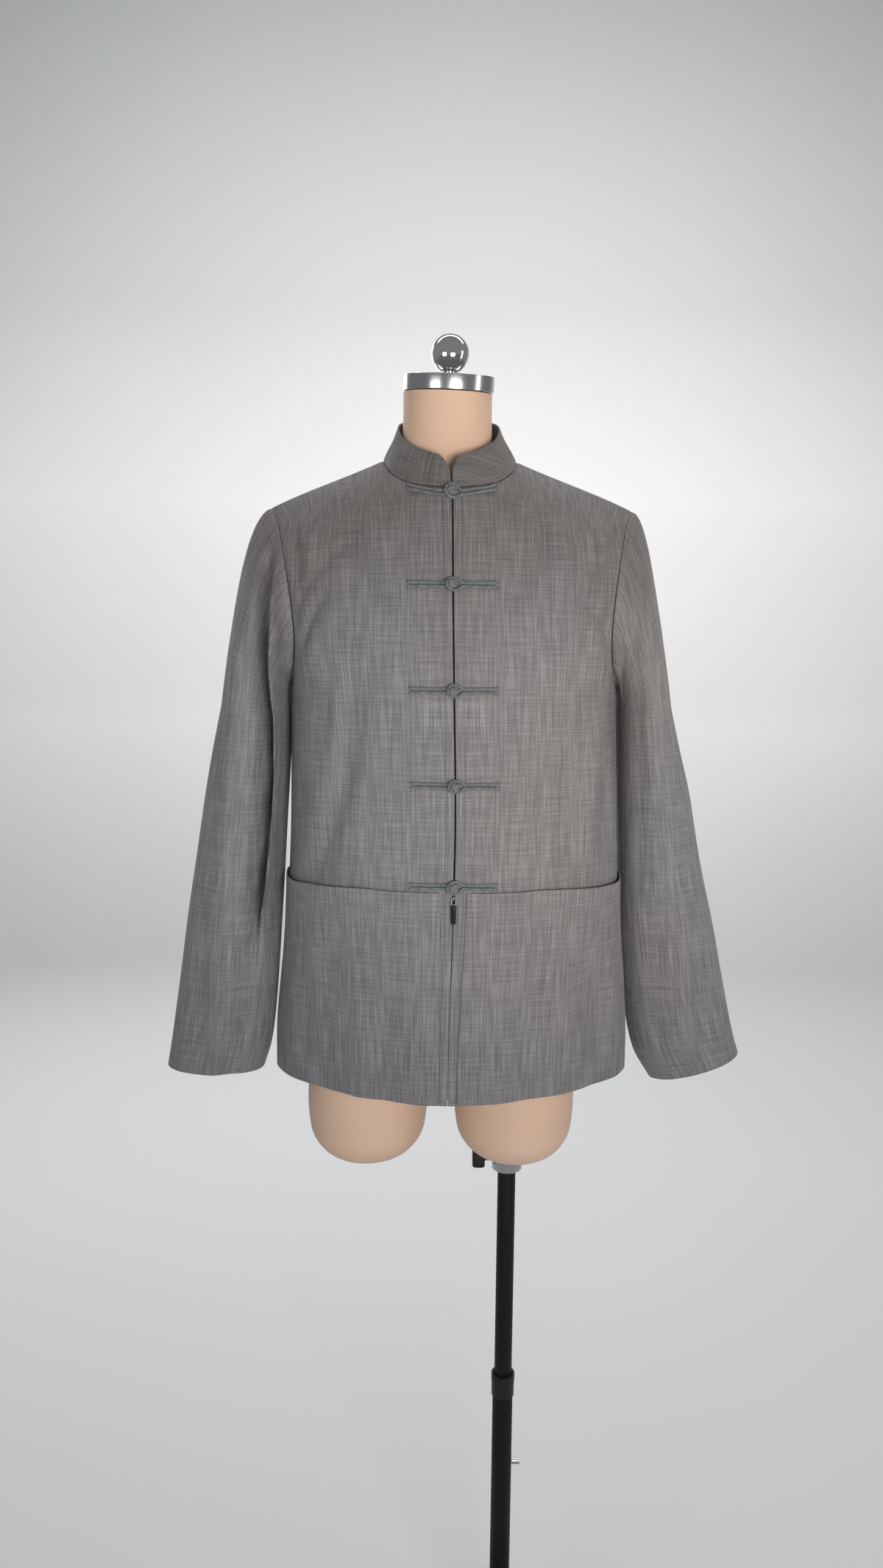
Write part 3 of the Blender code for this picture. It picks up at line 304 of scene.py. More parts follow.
def cordCloth():
    # the frogs' narrow tubes of the same cloth: threads run round them on the bias, and their colours are
    # darker than the jacket's as painted shade
    made, tree, shader = newMaterial("frogCord")
    grainOf = put(tree, "ShaderNodeUVMap", uv_map="grain").outputs["UV"]
    turned = put(tree, "ShaderNodeMapping")
    turned.inputs["Rotation"].default_value = (0, 0, math.radians(42))
    join(tree, grainOf, turned.inputs["Vector"])
    threads = streaks(tree, turned.outputs[0], (1900.0, 170.0, 1), 6.0, 1.0)
    patches = streaks(tree, grainOf, (90.0, 260.0, 1), 12.0, 2.0)
    total = math2(tree, "ADD", math2(tree, "MULTIPLY", threads, 0.7), math2(tree, "MULTIPLY", patches, 0.5))
    # painted shade: these colours are darker than the same cloth on the jacket
    colour = ramp(tree, total, ((0.38, (0.092, 0.095, 0.101)), (0.62, (0.172, 0.177, 0.182)),
                                (0.82, (0.265, 0.270, 0.272))))
    join(tree, colour, shader.inputs["Base Color"])
    setInputs(shader, {"Roughness": 0.7, "Specular IOR Level": 0.25, "Sheen Weight": 0.15})
    bump(tree, shader, total, 0.0004, 1.0)
    return made


def plainThread():
    made, tree, shader = newMaterial("seamThread")
    twist = streaks(tree, inPiece(tree), (2600.0, 2600.0, 900.0), 4.0)
    join(tree, ramp(tree, twist, ((0.3, (0.032, 0.033, 0.037)), (0.7, (0.085, 0.086, 0.092)))),
         shader.inputs["Base Color"])
    setInputs(shader, {"Roughness": 0.6})
    return made


def zipTapeCloth():
    made, tree, shader = newMaterial("zipTape")
    rib = streaks(tree, inPiece(tree), (1500.0, 300.0, 1500.0), 4.0)
    join(tree, ramp(tree, rib, ((0.3, (0.018, 0.018, 0.021)), (0.7, (0.045, 0.045, 0.050)))),
         shader.inputs["Base Color"])
    setInputs(shader, {"Roughness": 0.75})
    bump(tree, shader, rib, 0.0002)
    return made


def jerseyCloth():
    made, tree, shader = newMaterial("beigeJersey")
    place = inPiece(tree)
    knit = streaks(tree, place, (900.0, 900.0, 420.0), 2.0, 1.0)
    clouds = streaks(tree, place, (6.0, 6.0, 6.0), 9.0, 2.0)
    base = ramp(tree, clouds, ((0.35, (0.755, 0.525, 0.372)), (0.65, (0.795, 0.565, 0.408))))
    fine = ramp(tree, knit, ((0.3, (0.955, 0.950, 0.945)), (0.7, (1.0, 1.0, 1.0))))
    # painted light and shade on the form: darker on the thighs, a little lighter at the neck
    paintedShadeByHeight = ramp(tree, heightOf(tree, place, toneSpan),
                ((0.44, (0.80, 0.80, 0.82)), (0.60, (1.0, 1.0, 1.0)), (0.86, (1.04, 1.0, 0.99))))
    join(tree, multiplied(tree, multiplied(tree, base, fine), paintedShadeByHeight), shader.inputs["Base Color"])
    setInputs(shader, {"Roughness": 0.68, "Specular IOR Level": 0.3, "Sheen Weight": 0.10})
    bump(tree, shader, knit, 0.00025, 0.6)
    return made


def metalFinish(name, colour, roughness, grain, grainDepth=0.00002, metallic=1.0):
    # grain is how many marks there are in a metre along x, y and z
    made, tree, shader = newMaterial(name)
    marks = streaks(tree, inPiece(tree), grain, 7.0, 3.0, 0.6)
    low = tuple(value * 0.88 for value in colour)
    join(tree, ramp(tree, marks, ((0.3, low), (0.7, colour))), shader.inputs["Base Color"])
    spread = put(tree, "ShaderNodeMapRange")
    setInputs(spread, {"To Min": roughness * 0.8, "To Max": roughness * 1.25})
    join(tree, marks, spread.inputs["Value"])
    join(tree, spread.outputs[0], shader.inputs["Roughness"])
    shader.inputs["Metallic"].default_value = metallic
    if not metallic:
        shader.inputs["Specular IOR Level"].default_value = 0.18
    bump(tree, shader, marks, grainDepth, 0.5)
    return made


finishes = {
    "wool": woolCloth("greySuiting"),
    # the collar's copy of the cloth is darkened throughout as painted shade
    "shadedCollarWool": woolCloth("greySuitingCollar", 0.92),
    "cord": cordCloth(),
    "thread": plainThread(),
    "tape": zipTapeCloth(),
    "jersey": jerseyCloth(),
    "brushed": metalFinish("brushedSteel", (0.60, 0.60, 0.61), 0.20, (60.0, 60.0, 3000.0)),
    "chrome": metalFinish("polishedChrome", (0.82, 0.82, 0.84), 0.045, (40.0, 40.0, 40.0), 0.0),
    "casting": metalFinish("greyCasting", (0.50, 0.51, 0.52), 0.36, (900.0, 900.0, 900.0), 0.0001),
    "zipMetal": metalFinish("greyZipMetal", (0.30, 0.30, 0.31), 0.35, (700.0, 700.0, 700.0), 0.0001),
    "blackPaint": metalFinish("blackPaint", (0.007, 0.007, 0.009), 0.50, (500.0, 500.0, 500.0), 0.00006, 0.0),
    "blackPlastic": metalFinish("blackPlastic", (0.016, 0.016, 0.017), 0.45, (900.0, 900.0, 900.0),
                                0.0001, 0.0),
}
addCamera()
addLamps()
addRoom()
print("camera, light and finishes are in place")


# ---- tables of the jacket, as the frame's solids have them
wearerSides = (("left", 1), ("right", -1))
gap = 0.0003
cloth = {"thickness": 0.0016, "seamDip": 0.0009, "seamWidth": 0.0028}
swayTable = ((0.00, 0.0130), (0.20, 0.0135), (0.38, 0.0135), (0.50, 0.0105), (0.62, 0.0080),
             (0.73, 0.0065), (0.78, 0.0030), (0.83, 0.0010))
frontLine = ((0.00, -0.0050), (0.10, -0.0045), (0.22, -0.0015), (0.32, 0.0000), (0.74, 0.0000))
frontOpening = ((0.00, 0.0002), (0.10, 0.0003), (0.22, 0.0007), (0.255, 0.0013), (0.34, 0.0012),
                (0.74, 0.0014))
frontRows = (
    # edge x, y, z, side x, y, z, heading, reach in, reach out
    (0.000, -0.1400, 0.000, 0.2290, 0.000, 0.000, 90, 0.092, 0.060),
    (0.000, -0.1410, 0.070, 0.2275, 0.000, 0.070, 90, 0.102, 0.067),
    (0.000, -0.1420, 0.160, 0.2190, 0.001, 0.160, 90, 0.116, 0.077),
    (0.000, -0.1420, 0.262, 0.2125, 0.002, 0.262, 90, 0.126, 0.084),
    (0.000, -0.1405, 0.350, 0.2090, 0.003, 0.350, 90, 0.125, 0.086),
    (0.000, -0.1380, 0.435, 0.2070, 0.004, 0.435, 90, 0.125, 0.088),
    (0.000, -0.1355, 0.497, 0.2060, 0.005, 0.497, 90, 0.125, 0.088),
    (0.000, -0.1325, 0.545, 0.1980, -0.038, 0.520, 80, 0.122, 0.060),
    (0.000, -0.1275, 0.600, 0.1930, -0.061, 0.557, 66, 0.118, 0.050),
    (0.000, -0.1195, 0.650, 0.1945, -0.070, 0.600, 52, 0.112, 0.048),
    (0.000, -0.1100, 0.695, 0.2005, -0.063, 0.642, 42, 0.104, 0.050),
    (0.000, -0.1000, 0.733, 0.2070, -0.046, 0.673, 33, 0.094, 0.055),
    (0.047, -0.0800, 0.7405, 0.2130, -0.029, 0.695, 24, 0.060, 0.058),
    (0.073, -0.0440, 0.7575, 0.2190, -0.013, 0.709, 15, 0.045, 0.050),
    (0.083, 0.0100, 0.7800, 0.2260, 0.001, 0.719, 3, 0.045, 0.040),
)
backRows = (
    (0.000, 0.1260, 0.000, 0.2290, 0.000, 0.000, 90, 0.130, 0.070),
    (0.000, 0.1240, 0.070, 0.2275, 0.000, 0.070, 90, 0.130, 0.070),
    (0.000, 0.1200, 0.160, 0.2190, 0.001, 0.160, 90, 0.128, 0.068),
    (0.000, 0.1180, 0.262, 0.2125, 0.002, 0.262, 90, 0.126, 0.068),
    (0.000, 0.1190, 0.350, 0.2090, 0.003, 0.350, 90, 0.125, 0.069),
    (0.000, 0.1230, 0.435, 0.2070, 0.004, 0.435, 90, 0.125, 0.070),
    (0.000, 0.1260, 0.497, 0.2060, 0.005, 0.497, 90, 0.125, 0.070),
    (0.000, 0.1280, 0.560, 0.2020, 0.044, 0.520, 82, 0.122, 0.050),
    (0.000, 0.1260, 0.620, 0.1990, 0.067, 0.557, 68, 0.118, 0.045),
    (0.000, 0.1170, 0.680, 0.2000, 0.074, 0.600, 54, 0.112, 0.045),
    (0.000, 0.0980, 0.738, 0.2040, 0.066, 0.642, 44, 0.104, 0.048),
    (0.000, 0.0660, 0.787, 0.2090, 0.048, 0.673, 35, 0.094, 0.052),
    (0.035, 0.0625, 0.7868, 0.2145, 0.031, 0.695, 26, 0.070, 0.055),
    (0.066, 0.0430, 0.7845, 0.2195, 0.016, 0.709, 16, 0.050, 0.050),
    (0.083, 0.0100, 0.7800, 0.2260, 0.001, 0.719, 3, 0.045, 0.040),
)
underarmRow = 6
neckCornerRow = 11
shoulderRow = len(frontRows) - 1
sleeveSections = {
    "left": (
        # middle x, y, z, half width, half depth, drop of the inner side
        (0.2548, 0.010, 0.470, 0.0340, 0.076, 0.004),
        (0.2670, 0.014, 0.390, 0.0425, 0.070, 0.002),
        (0.2800, 0.019, 0.292, 0.0510, 0.062, 0.002),
        (0.2945, 0.023, 0.198, 0.0605, 0.054, 0.003),
        (0.3100, 0.026, 0.098, 0.0670, 0.047, 0.006),
        (0.3250, 0.027, 0.030, 0.0670, 0.043, 0.012),
        (0.3420, 0.027, -0.008, 0.0595, 0.041, 0.018),
    ),
    "right": (
        (0.2400, 0.006, 0.470, 0.0435, 0.078, 0.004),
        (0.2495, 0.004, 0.390, 0.0505, 0.072, 0.002),
        (0.2605, 0.001, 0.292, 0.0565, 0.064, 0.001),
        (0.2710, -0.002, 0.198, 0.0610, 0.056, 0.001),
        (0.2815, -0.004, 0.098, 0.0650, 0.049, 0.001),
        (0.2900, -0.005, 0.035, 0.0660, 0.045, 0.001),
        (0.2985, -0.005, -0.002, 0.0640, 0.043, 0.001),
    ),
}
collarTop = (
    (0.0015, -0.0900, 0.7700),
    (0.0280, -0.0770, 0.7780),
    (0.0540, -0.0410, 0.7960),
    (0.0625, 0.0030, 0.8200),
    (0.0450, 0.0390, 0.8330),
    (0.0000, 0.0530, 0.8370),
)

# Creases laid on the fronts and the back. Each runs from one place to another across
# the wearer's side, bows sideways, and has a depth (below 0 is a trough) and a half width.
creases = {
    "front_right": (
        # from x, from z, to x, to z, bow, depth, half width
        (0.189, 0.690, 0.186, 0.618, 0.002, -0.0040, 0.0072),
        (0.176, 0.680, 0.172, 0.600, 0.003, 0.0026, 0.0080),
        (0.188, 0.590, 0.122, 0.672, 0.006, -0.0030, 0.0072),
        (0.180, 0.574, 0.128, 0.640, 0.005, 0.0024, 0.0078),
        (0.181, 0.548, 0.142, 0.628, 0.004, -0.0036, 0.0068),
        (0.172, 0.530, 0.132, 0.600, 0.004, 0.0020, 0.0080),
        (0.114, 0.545, 0.176, 0.262, 0.014, -0.0050, 0.0150),
        (0.134, 0.520, 0.188, 0.290, 0.010, 0.0032, 0.0140),
        (0.092, 0.470, 0.138, 0.300, 0.008, 0.0030, 0.0180),
        (0.060, 0.640, 0.150, 0.700, -0.004, -0.0012, 0.0140),
        (0.150, 0.220, 0.162, 0.010, 0.004, -0.0030, 0.0150),
        (0.118, 0.150, 0.112, -0.010, 0.002, 0.0030, 0.0150),
        (0.078, 0.130, 0.080, -0.010, 0.002, -0.0026, 0.0130),
        (0.042, 0.160, 0.036, -0.010, 0.002, 0.0020, 0.0120),
        (0.196, 0.140, 0.204, -0.010, 0.003, 0.0026, 0.0130),
        (0.020, 0.180, 0.016, 0.010, 0.001, -0.0016, 0.0060),
    ),
    "front_left": (
        (0.196, 0.700, 0.188, 0.560, 0.004, -0.0046, 0.0074),
        (0.182, 0.690, 0.176, 0.580, 0.004, 0.0028, 0.0090),
        (0.190, 0.560, 0.148, 0.610, 0.005, -0.0036, 0.0070),
        (0.196, 0.470, 0.188, 0.290, 0.006, -0.0044, 0.0115),
        (0.172, 0.440, 0.160, 0.290, 0.004, 0.0032, 0.0120),
        (0.146, 0.420, 0.134, 0.280, 0.004, -0.0032, 0.0125),
        (0.088, 0.660, 0.076, 0.320, 0.010, 0.0022, 0.0240),
        (0.124, 0.600, 0.112, 0.400, 0.006, -0.0014, 0.0200),
        (0.168, 0.210, 0.180, -0.010, 0.004, -0.0032, 0.0150),
        (0.132, 0.200, 0.136, -0.010, 0.003, 0.0028, 0.0150),
        (0.092, 0.170, 0.094, -0.010, 0.002, -0.0024, 0.0140),
        (0.054, 0.150, 0.056, -0.010, 0.002, 0.0018, 0.0130),
        (0.206, 0.170, 0.210, -0.010, 0.002, 0.0024, 0.0120),
    ),
    "back_right": (
        (0.188, 0.690, 0.180, 0.560, 0.004, -0.0034, 0.0090),
        (0.172, 0.680, 0.120, 0.560, 0.006, 0.0022, 0.0120),
        (0.190, 0.560, 0.110, 0.480, 0.008, -0.0036, 0.0110),
        (0.186, 0.520, 0.090, 0.400, 0.010, 0.0028, 0.0140),
        (0.200, 0.440, 0.120, 0.300, 0.012, -0.0034, 0.0140),
        (0.060, 0.700, 0.080, 0.420, 0.012, 0.0024, 0.0240),
        (0.150, 0.260, 0.160, -0.010, 0.006, -0.0046, 0.0190),
        (0.104, 0.300, 0.108, -0.010, 0.006, 0.0044, 0.0200),
        (0.056, 0.240, 0.052, -0.010, 0.004, -0.0036, 0.0180),
        (0.198, 0.200, 0.206, -0.010, 0.004, 0.0034, 0.0140),
        (0.030, 0.770, 0.024, 0.660, 0.004, 0.0014, 0.0120),
    ),
    "back_left": (
        (0.190, 0.690, 0.178, 0.580, 0.004, -0.0030, 0.0090),
        (0.176, 0.670, 0.132, 0.540, 0.006, 0.0022, 0.0130),
        (0.192, 0.550, 0.124, 0.460, 0.008, -0.0030, 0.0120),
        (0.192, 0.500, 0.100, 0.370, 0.012, 0.0030, 0.0150),
        (0.204, 0.400, 0.140, 0.250, 0.010, -0.0032, 0.0150),
        (0.074, 0.680, 0.086, 0.380, 0.010, -0.0020, 0.0220),
        (0.164, 0.230, 0.176, -0.010, 0.006, -0.0042, 0.0180),
        (0.124, 0.280, 0.126, -0.010, 0.006, 0.0046, 0.0190),
        (0.078, 0.260, 0.072, -0.010, 0.004, -0.0040, 0.0180),
        (0.030, 0.200, 0.028, -0.010, 0.004, 0.0030, 0.0170),
        (0.210, 0.160, 0.214, -0.010, 0.003, 0.0030, 0.0130),
    ),
}
# Folds along the sleeves. The path gives heights and turns in degrees (0 outer side, 90 front,
# 180 next to the body, 270 back). A step drops sharply on its outer side and rises slowly.
sleeveFolds = {
    "right": (
        # kind, depth, sharp width, slow width, path of (height, turn)
        ("step", 0.0270, 10, 16, ((0.700, 84), (0.620, 102), (0.560, 116), (0.530, 122), (0.458, 138),
                                 (0.385, 143), (0.339, 143), (0.232, 139), (0.190, 136))),
        ("crease", -0.0034, 9, 9, ((0.660, 120), (0.600, 128), (0.540, 142))),
        ("crease", 0.0040, 12, 12, ((0.560, 60), (0.400, 72), (0.200, 84), (0.080, 92))),
        ("crease", -0.0036, 12, 12, ((0.500, 36), (0.320, 48), (0.120, 60), (0.000, 64))),
        ("crease", -0.0060, 10, 10, ((0.250, 150), (0.190, 132), (0.150, 112))),
        ("crease", -0.0040, 12, 12, ((0.180, 124), (0.080, 116), (-0.010, 112))),
        ("crease", 0.0030, 10, 10, ((0.120, 100), (0.040, 94), (-0.010, 92))),
        ("crease", -0.0090, 14, 14, ((0.640, 240), (0.500, 250), (0.360, 252), (0.260, 246))),
        ("crease", 0.0050, 14, 14, ((0.600, 280), (0.420, 284), (0.240, 276), (0.100, 270))),
        ("crease", -0.0060, 10, 10, ((0.330, 215), (0.270, 240), (0.230, 275))),
        ("crease", -0.0048, 12, 12, ((0.500, 312), (0.300, 306), (0.140, 300))),
    ),
    "left": (
        ("step", 0.0070, 9, 16, ((0.640, 142), (0.590, 150), (0.540, 158), (0.480, 164))),
        ("crease", -0.0030, 12, 12, ((0.680, 96), (0.560, 112), (0.420, 122), (0.260, 126))),
        ("crease", 0.0026, 12, 12, ((0.620, 64), (0.420, 78), (0.220, 88), (0.060, 92))),
        ("crease", -0.0034, 12, 12, ((0.560, 34), (0.380, 46), (0.180, 58), (0.020, 64))),
        ("crease", 0.0026, 10, 10, ((0.400, 20), (0.220, 30), (0.060, 36))),
        ("crease", -0.0030, 12, 12, ((0.220, 112), (0.100, 118), (0.000, 120))),
        ("crease", -0.0080, 14, 14, ((0.640, 236), (0.500, 248), (0.360, 254), (0.240, 250))),
        ("crease", 0.0046, 14, 14, ((0.600, 276), (0.400, 282), (0.200, 274), (0.060, 268))),
        ("crease", -0.0054, 10, 10, ((0.350, 212), (0.300, 236), (0.270, 268))),
        ("crease", -0.0044, 12, 12, ((0.480, 310), (0.280, 304), (0.100, 298))),
    ),
}


# ---- curves and tables
def readOff(table, spot):
    if spot <= table[0][0]:
        return table[0][1]
    for (low, first), (high, second) in zip(table, table[1:]):
        if spot <= high:
            return first + (second - first) * (spot - low) / (high - low)
    return table[-1][1]


def sway(height):
    # the jacket's shift to the wearer's left, with the table's corners rounded
    return sum(readOff(swayTable, height + step) for step in (-0.036, -0.018, 0.0, 0.018, 0.036)) / 5


def smoothRow(rows, spot, corners=()):
    # a table row between the rows at whole numbers, on a smooth curve with sharp corners
    last = len(rows) - 1
    index = min(int(math.floor(spot)), last - 1)
    part = spot - index
    values = []
    for column in range(len(rows[0])):
        here, there = rows[index][column], rows[index + 1][column]
        step = there - here
        leave = step if index == 0 or index in corners else (there - rows[index - 1][column]) / 2
        arrive = step if index + 1 == last or index + 1 in corners else (rows[index + 2][column] - here) / 2
        values.append(here + leave * part + (3 * step - 2 * leave - arrive) * part ** 2
                      + (leave + arrive - 2 * step) * part ** 3)
    return values


def bezier(a, b, c, d, part):
    rest = 1 - part
    return a * rest ** 3 + b * (3 * rest * rest * part) + c * (3 * rest * part * part) + d * part ** 3


def smoothStep(value):
    value = max(0.0, min(1.0, value))
    return value * value * (3 - 2 * value)


def hump(distance, width):
    return math.exp(-(distance / width) ** 2)


def bodyPoint(rows, row, across, side):
    edgeX, edgeY, edgeZ, sideX, sideY, sideZ, heading, reachIn, reachOut = smoothRow(
        rows, row, (underarmRow, neckCornerRow))
    if rows is frontRows and edgeX < 0.02:
        opening = readOff(frontOpening, edgeZ) + side * readOff(frontLine, edgeZ)
        edgeX = opening if edgeX <= 0 else max(edgeX, opening)
    back = 1 if rows is frontRows else -1
    edge = Vector((edgeX, edgeY, edgeZ))
    outer = Vector((sideX, sideY, sideZ))
    turn = math.radians(heading)
    drop = (outer.z - edge.z) / 3
    leave = edge + Vector((reachIn, 0, drop))
    arrive = outer - Vector((math.cos(turn) * reachOut, back * math.sin(turn) * reachOut, drop))
    point = bezier(edge, leave, arrive, outer, across)
    point.y -= back * gap / 2
    point.x = side * point.x + sway(point.z)
    return point


# ---- making cloth
def gridNormals(grid, ring, core):
    height, width = len(grid), len(grid[0])
    normals = []
    for i in range(height):
        line = []
        for j in range(width):
            if ring:
                before, after = grid[i][(j - 1) % width], grid[i][(j + 1) % width]
            else:
                before, after = grid[i][max(j - 1, 0)], grid[i][min(j + 1, width - 1)]
            below, above = grid[max(i - 1, 0)][j], grid[min(i + 1, height - 1)][j]
            way = (after - before).cross(above - below).normalized()
            line.append(way if way.dot(grid[i][j] - core(grid[i][j])) > 0 else -way)
        normals.append(line)
    return normals


def clothMesh(name, grid, grain, ring, outward):
    # one sheet through the grid; grain holds each corner's place on the cloth, in metres
    height, width = len(grid), len(grid[0])
    spans = width if ring else width - 1
    points = [point + figureAt for row in grid for point in row]
    faces = []
    corners = []
    for i in range(height - 1):
        for j in range(spans):
            k = (j + 1) % width
            loop = [(i, j, j), (i, k, j + 1), (i + 1, k, j + 1), (i + 1, j, j)]
            faces.append([row * width + column for row, column, _ in loop])
            corners.append([(row, column) for row, _, column in loop])
    a, b, _, d = (points[index] for index in faces[len(faces) // 2])
    flip = (b - a).cross(d - a).dot(outward(height // 2, (len(faces) // 2) % spans)) < 0
    if flip:
        faces = [face[::-1] for face in faces]
        corners = [corner[::-1] for corner in corners]
    mesh = bpy.data.meshes.new(name)
    mesh.from_pydata(points, [], faces)
    layer = mesh.uv_layers.new(name="grain")
    spots = [grain[row][column] for corner in corners for row, column in corner]
    layer.data.foreach_set("uv", [value for spot in spots for value in spot])
    return mesh


def finishPiece(obj, body, finish, nodes=()):
    # the finish and the frame's calls that every piece has
    obj.data.materials.clear()
    obj.data.materials.append(finishes[finish])
    if nodes:
        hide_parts(*nodes)
    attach(obj, body)
    return obj


def applied(obj):
    # the object becomes its evaluated shape, with its modifiers gone
    mesh = evaluatedMesh(obj)
    obj.modifiers.clear()
    old = obj.data
    obj.data = mesh
    mesh.name = obj.name
    bpy.data.meshes.remove(old)


def thicken(name, mesh, thickness):
    obj = placed(name, mesh)
    wall = obj.modifiers.new("wall", "SOLIDIFY")
    wall.thickness = thickness
    wall.offset = -1.0
    wall.use_even_offset = False
    wall.use_quality_normals = True
    applied(obj)
    obj.data.shade_smooth()
    obj.data.set_sharp_from_angle(angle=math.radians(50))
    return obj


def sewn(node, mesh, finish="wool", thickness=cloth["thickness"]):
    # a wall of cloth on the figure, which stands for one node
    return finishPiece(thicken(f"{node}_cloth", mesh, thickness), "figure", finish, [node])


def creaseDepth(table, x, z):
    # how far the listed creases move a place of the cloth outwards
    total = 0.0
    for fromX, fromZ, toX, toZ, bow, depth, width in table:
        runX, runZ = toX - fromX, toZ - fromZ
        length = math.hypot(runX, runZ)
        share = ((x - fromX) * runX + (z - fromZ) * runZ) / length ** 2
        if not -0.15 < share < 1.15:
            continue
        off = ((x - fromX) * runZ - (z - fromZ) * runX) / length
        off -= bow * 4 * share * (1 - share)
        uneven = noise.noise(Vector((fromX * 90, share * 2.2, depth * 500)))
        spread = width * (0.75 + 0.5 * uneven + 0.25 * share)
        fade = smoothStep((share + 0.15) / 0.35) * smoothStep((1.15 - share) / 0.35)
        total += depth * fade * hump(off, max(spread, width * 0.5))
    return total


# ---- fronts and back
panel = {"skirtRows": 9, "armholeRows": 7, "neckRows": 9, "edgeColumns": 18, "edgeShare": 0.048,
         "sideColumns": 6, "sideShare": 0.03, "middleColumns": 62,
         # the length of a row at the shoulder, and how far from each edge the creases begin
         "topRow": 0.028, "calmSide": 0.014, "calmTop": 0.02, "calmFront": (0.004, 0.03), "calmNeck": 0.03,
         "ripple": 0.0011,
         # the turned front edge: the groove at its stitches, its fullness, and its pucker
         "groove": 0.0005, "grooveWidth": 0.0014, "roll": 0.0005, "rollAt": 0.005, "rollWidth": 0.004,
         "pucker": 0.0004, "puckerWidth": 0.005,
         # the two halves of the back are joined within this distance of the middle
         "joinWidth": 0.02, "joinGap": 0.0004}
stitchFromEdge = 0.0100       # the line of stitches beside each front edge
panelGrids = {}


def rowPlaces():
    places = []
    for low, high, steps in ((0, underarmRow, panel["skirtRows"]),
                             (underarmRow, neckCornerRow, panel["armholeRows"]),
                             (neckCornerRow, shoulderRow, panel["neckRows"])):
        places += [low + step / steps for step in range((high - low) * steps)]
    return places + [float(shoulderRow)]


def columnPlaces(isFront):
    # close columns beside the edges that have a stitched or dipped seam
    first = panel["edgeShare"]
    near = [first * step / panel["edgeColumns"] for step in range(panel["edgeColumns"])] if isFront else [0.0]
    start = first if isFront else 1.0 / panel["middleColumns"]
    last = 1 - panel["sideShare"]
    middle = [start + (last - start) * step / panel["middleColumns"]
              for step in range(panel["middleColumns"])]
    end = [last + panel["sideShare"] * step / panel["sideColumns"]
           for step in range(panel["sideColumns"] + 1)]
    return near + middle + end


def bodyCore(point):
    return Vector((sway(point.z), 0.0, min(point.z, 0.55)))


def edgeDip(distance):
    return -cloth["seamDip"] * hump(distance, cloth["seamWidth"])


def panelGrain(grid):
    # places on the cloth: across from the front edge, and up along it
    grain = []
    climb = 0.0
    for i, row in enumerate(grid):
        if i:
            climb += (row[0] - grid[i - 1][0]).length if row[0].z < 0.735 else 0.004
        across = abs(row[0].x - sway(row[0].z))
        line = []
        for j, point in enumerate(row):
            if j:
                across += math.hypot(point.x - row[j - 1].x, point.y - row[j - 1].y)
            line.append((across, climb + (point.z - row[0].z)))
        grain.append(line)
    return grain


def panelHalf(word, side, isFront):
    rows = frontRows if isFront else backRows
    places = rowPlaces()
    columns = columnPlaces(isFront)
    grid = [[bodyPoint(rows, row, across, side) for across in columns] for row in places]
    normals = gridNormals(grid, False, bodyCore)
    table = creases[f"{'front' if isFront else 'back'}_{word}"]
    moved = []
    for i, (row, ways) in enumerate(zip(grid, normals)):
        walked = [0.0]
        for j in range(1, len(row)):
            walked.append(walked[-1] + (row[j] - row[j - 1]).length)
        fromTop = (shoulderRow - places[i]) * panel["topRow"]
        line = []
        for j, (point, way) in enumerate(zip(row, ways)):
            fromEdge, fromSide = walked[j], walked[-1] - walked[j]
            x = side * (point.x - sway(point.z))
            calm = smoothStep(fromSide / panel["calmSide"]) * smoothStep(fromTop / panel["calmTop"])
            if isFront:
                calmFrom, calmOver = panel["calmFront"]
                calm *= smoothStep((fromEdge - calmFrom) / calmOver)
            elif places[i] > neckCornerRow:
                calm *= smoothStep(fromEdge / panel["calmNeck"])
            shift = creaseDepth(table, x, point.z) * calm
            shift += panel["ripple"] * noise.noise(Vector((x * 22, point.z * 9, 3.1 * side))) * calm
            shift += edgeDip(fromSide) + edgeDip(fromTop)
            if isFront and places[i] <= neckCornerRow:
                # the turned edge is a little fuller than the line of stitches beside it
                fromStitch = fromEdge - stitchFromEdge
                shift -= panel["groove"] * hump(fromStitch, panel["grooveWidth"])
                shift += panel["roll"] * hump(fromEdge - panel["rollAt"], panel["rollWidth"])
                uneven = noise.noise(Vector((point.z * 60, 0.5, 2 * side)))
                shift += panel["pucker"] * uneven * hump(fromStitch, panel["puckerWidth"])
            if places[i] >= neckCornerRow:
                shift += edgeDip(fromEdge)
            line.append(point + way * shift)
        moved.append(line)
    if isFront:
        panelGrids[side] = (moved, gridNormals(moved, False, bodyCore), places, columns)
    return moved


for word, side in wearerSides:
    grid = panelHalf(word, side, True)
    mesh = clothMesh(f"front_{word}", grid, panelGrain(grid), False, lambda i, j: Vector((0, -1, 0)))
    sewn(f"front_{word}", mesh)


def makeBack():
    halves = []
    for word, side in wearerSides:
        grid = panelHalf(word, side, False)
        grain = panelGrain(grid)
        halves.append((grid, [[(side * u, v) for u, v in row] for row in grain]))
    joined = bmesh.new()
    for grid, grain in halves:
        joined.from_mesh(clothMesh("backHalf", grid, grain, False, lambda i, j: Vector((0, 1, 0))))
    middle = [vert for vert in joined.verts if abs(vert.co.x - figureAt.x) < panel["joinWidth"]]
    bmesh.ops.remove_doubles(joined, verts=middle, dist=panel["joinGap"])
    mesh = bpy.data.meshes.new("back")
    joined.to_mesh(mesh)
    joined.free()
    return sewn("back", mesh)


makeBack()
print("fronts and back are sewn")


# ---- sleeves
sleeve = {"capRows": 34, "sectionRows": 15, "capReach": 0.42, "ease": 0.010, "girth": 0.34,
          "fullness": {"left": 0.016, "right": 0.026}}


def armholeOut(side, row, isFront):
    up = (row - underarmRow) / (shoulderRow - underarmRow)
    lift = -math.cos(math.pi * min(1.0, up * 1.2))
    lean = math.sin(math.pi * up) * (-0.9 if isFront else 0.9)
    return Vector((side * 0.7, lean, 0.7 * lift)).normalized()


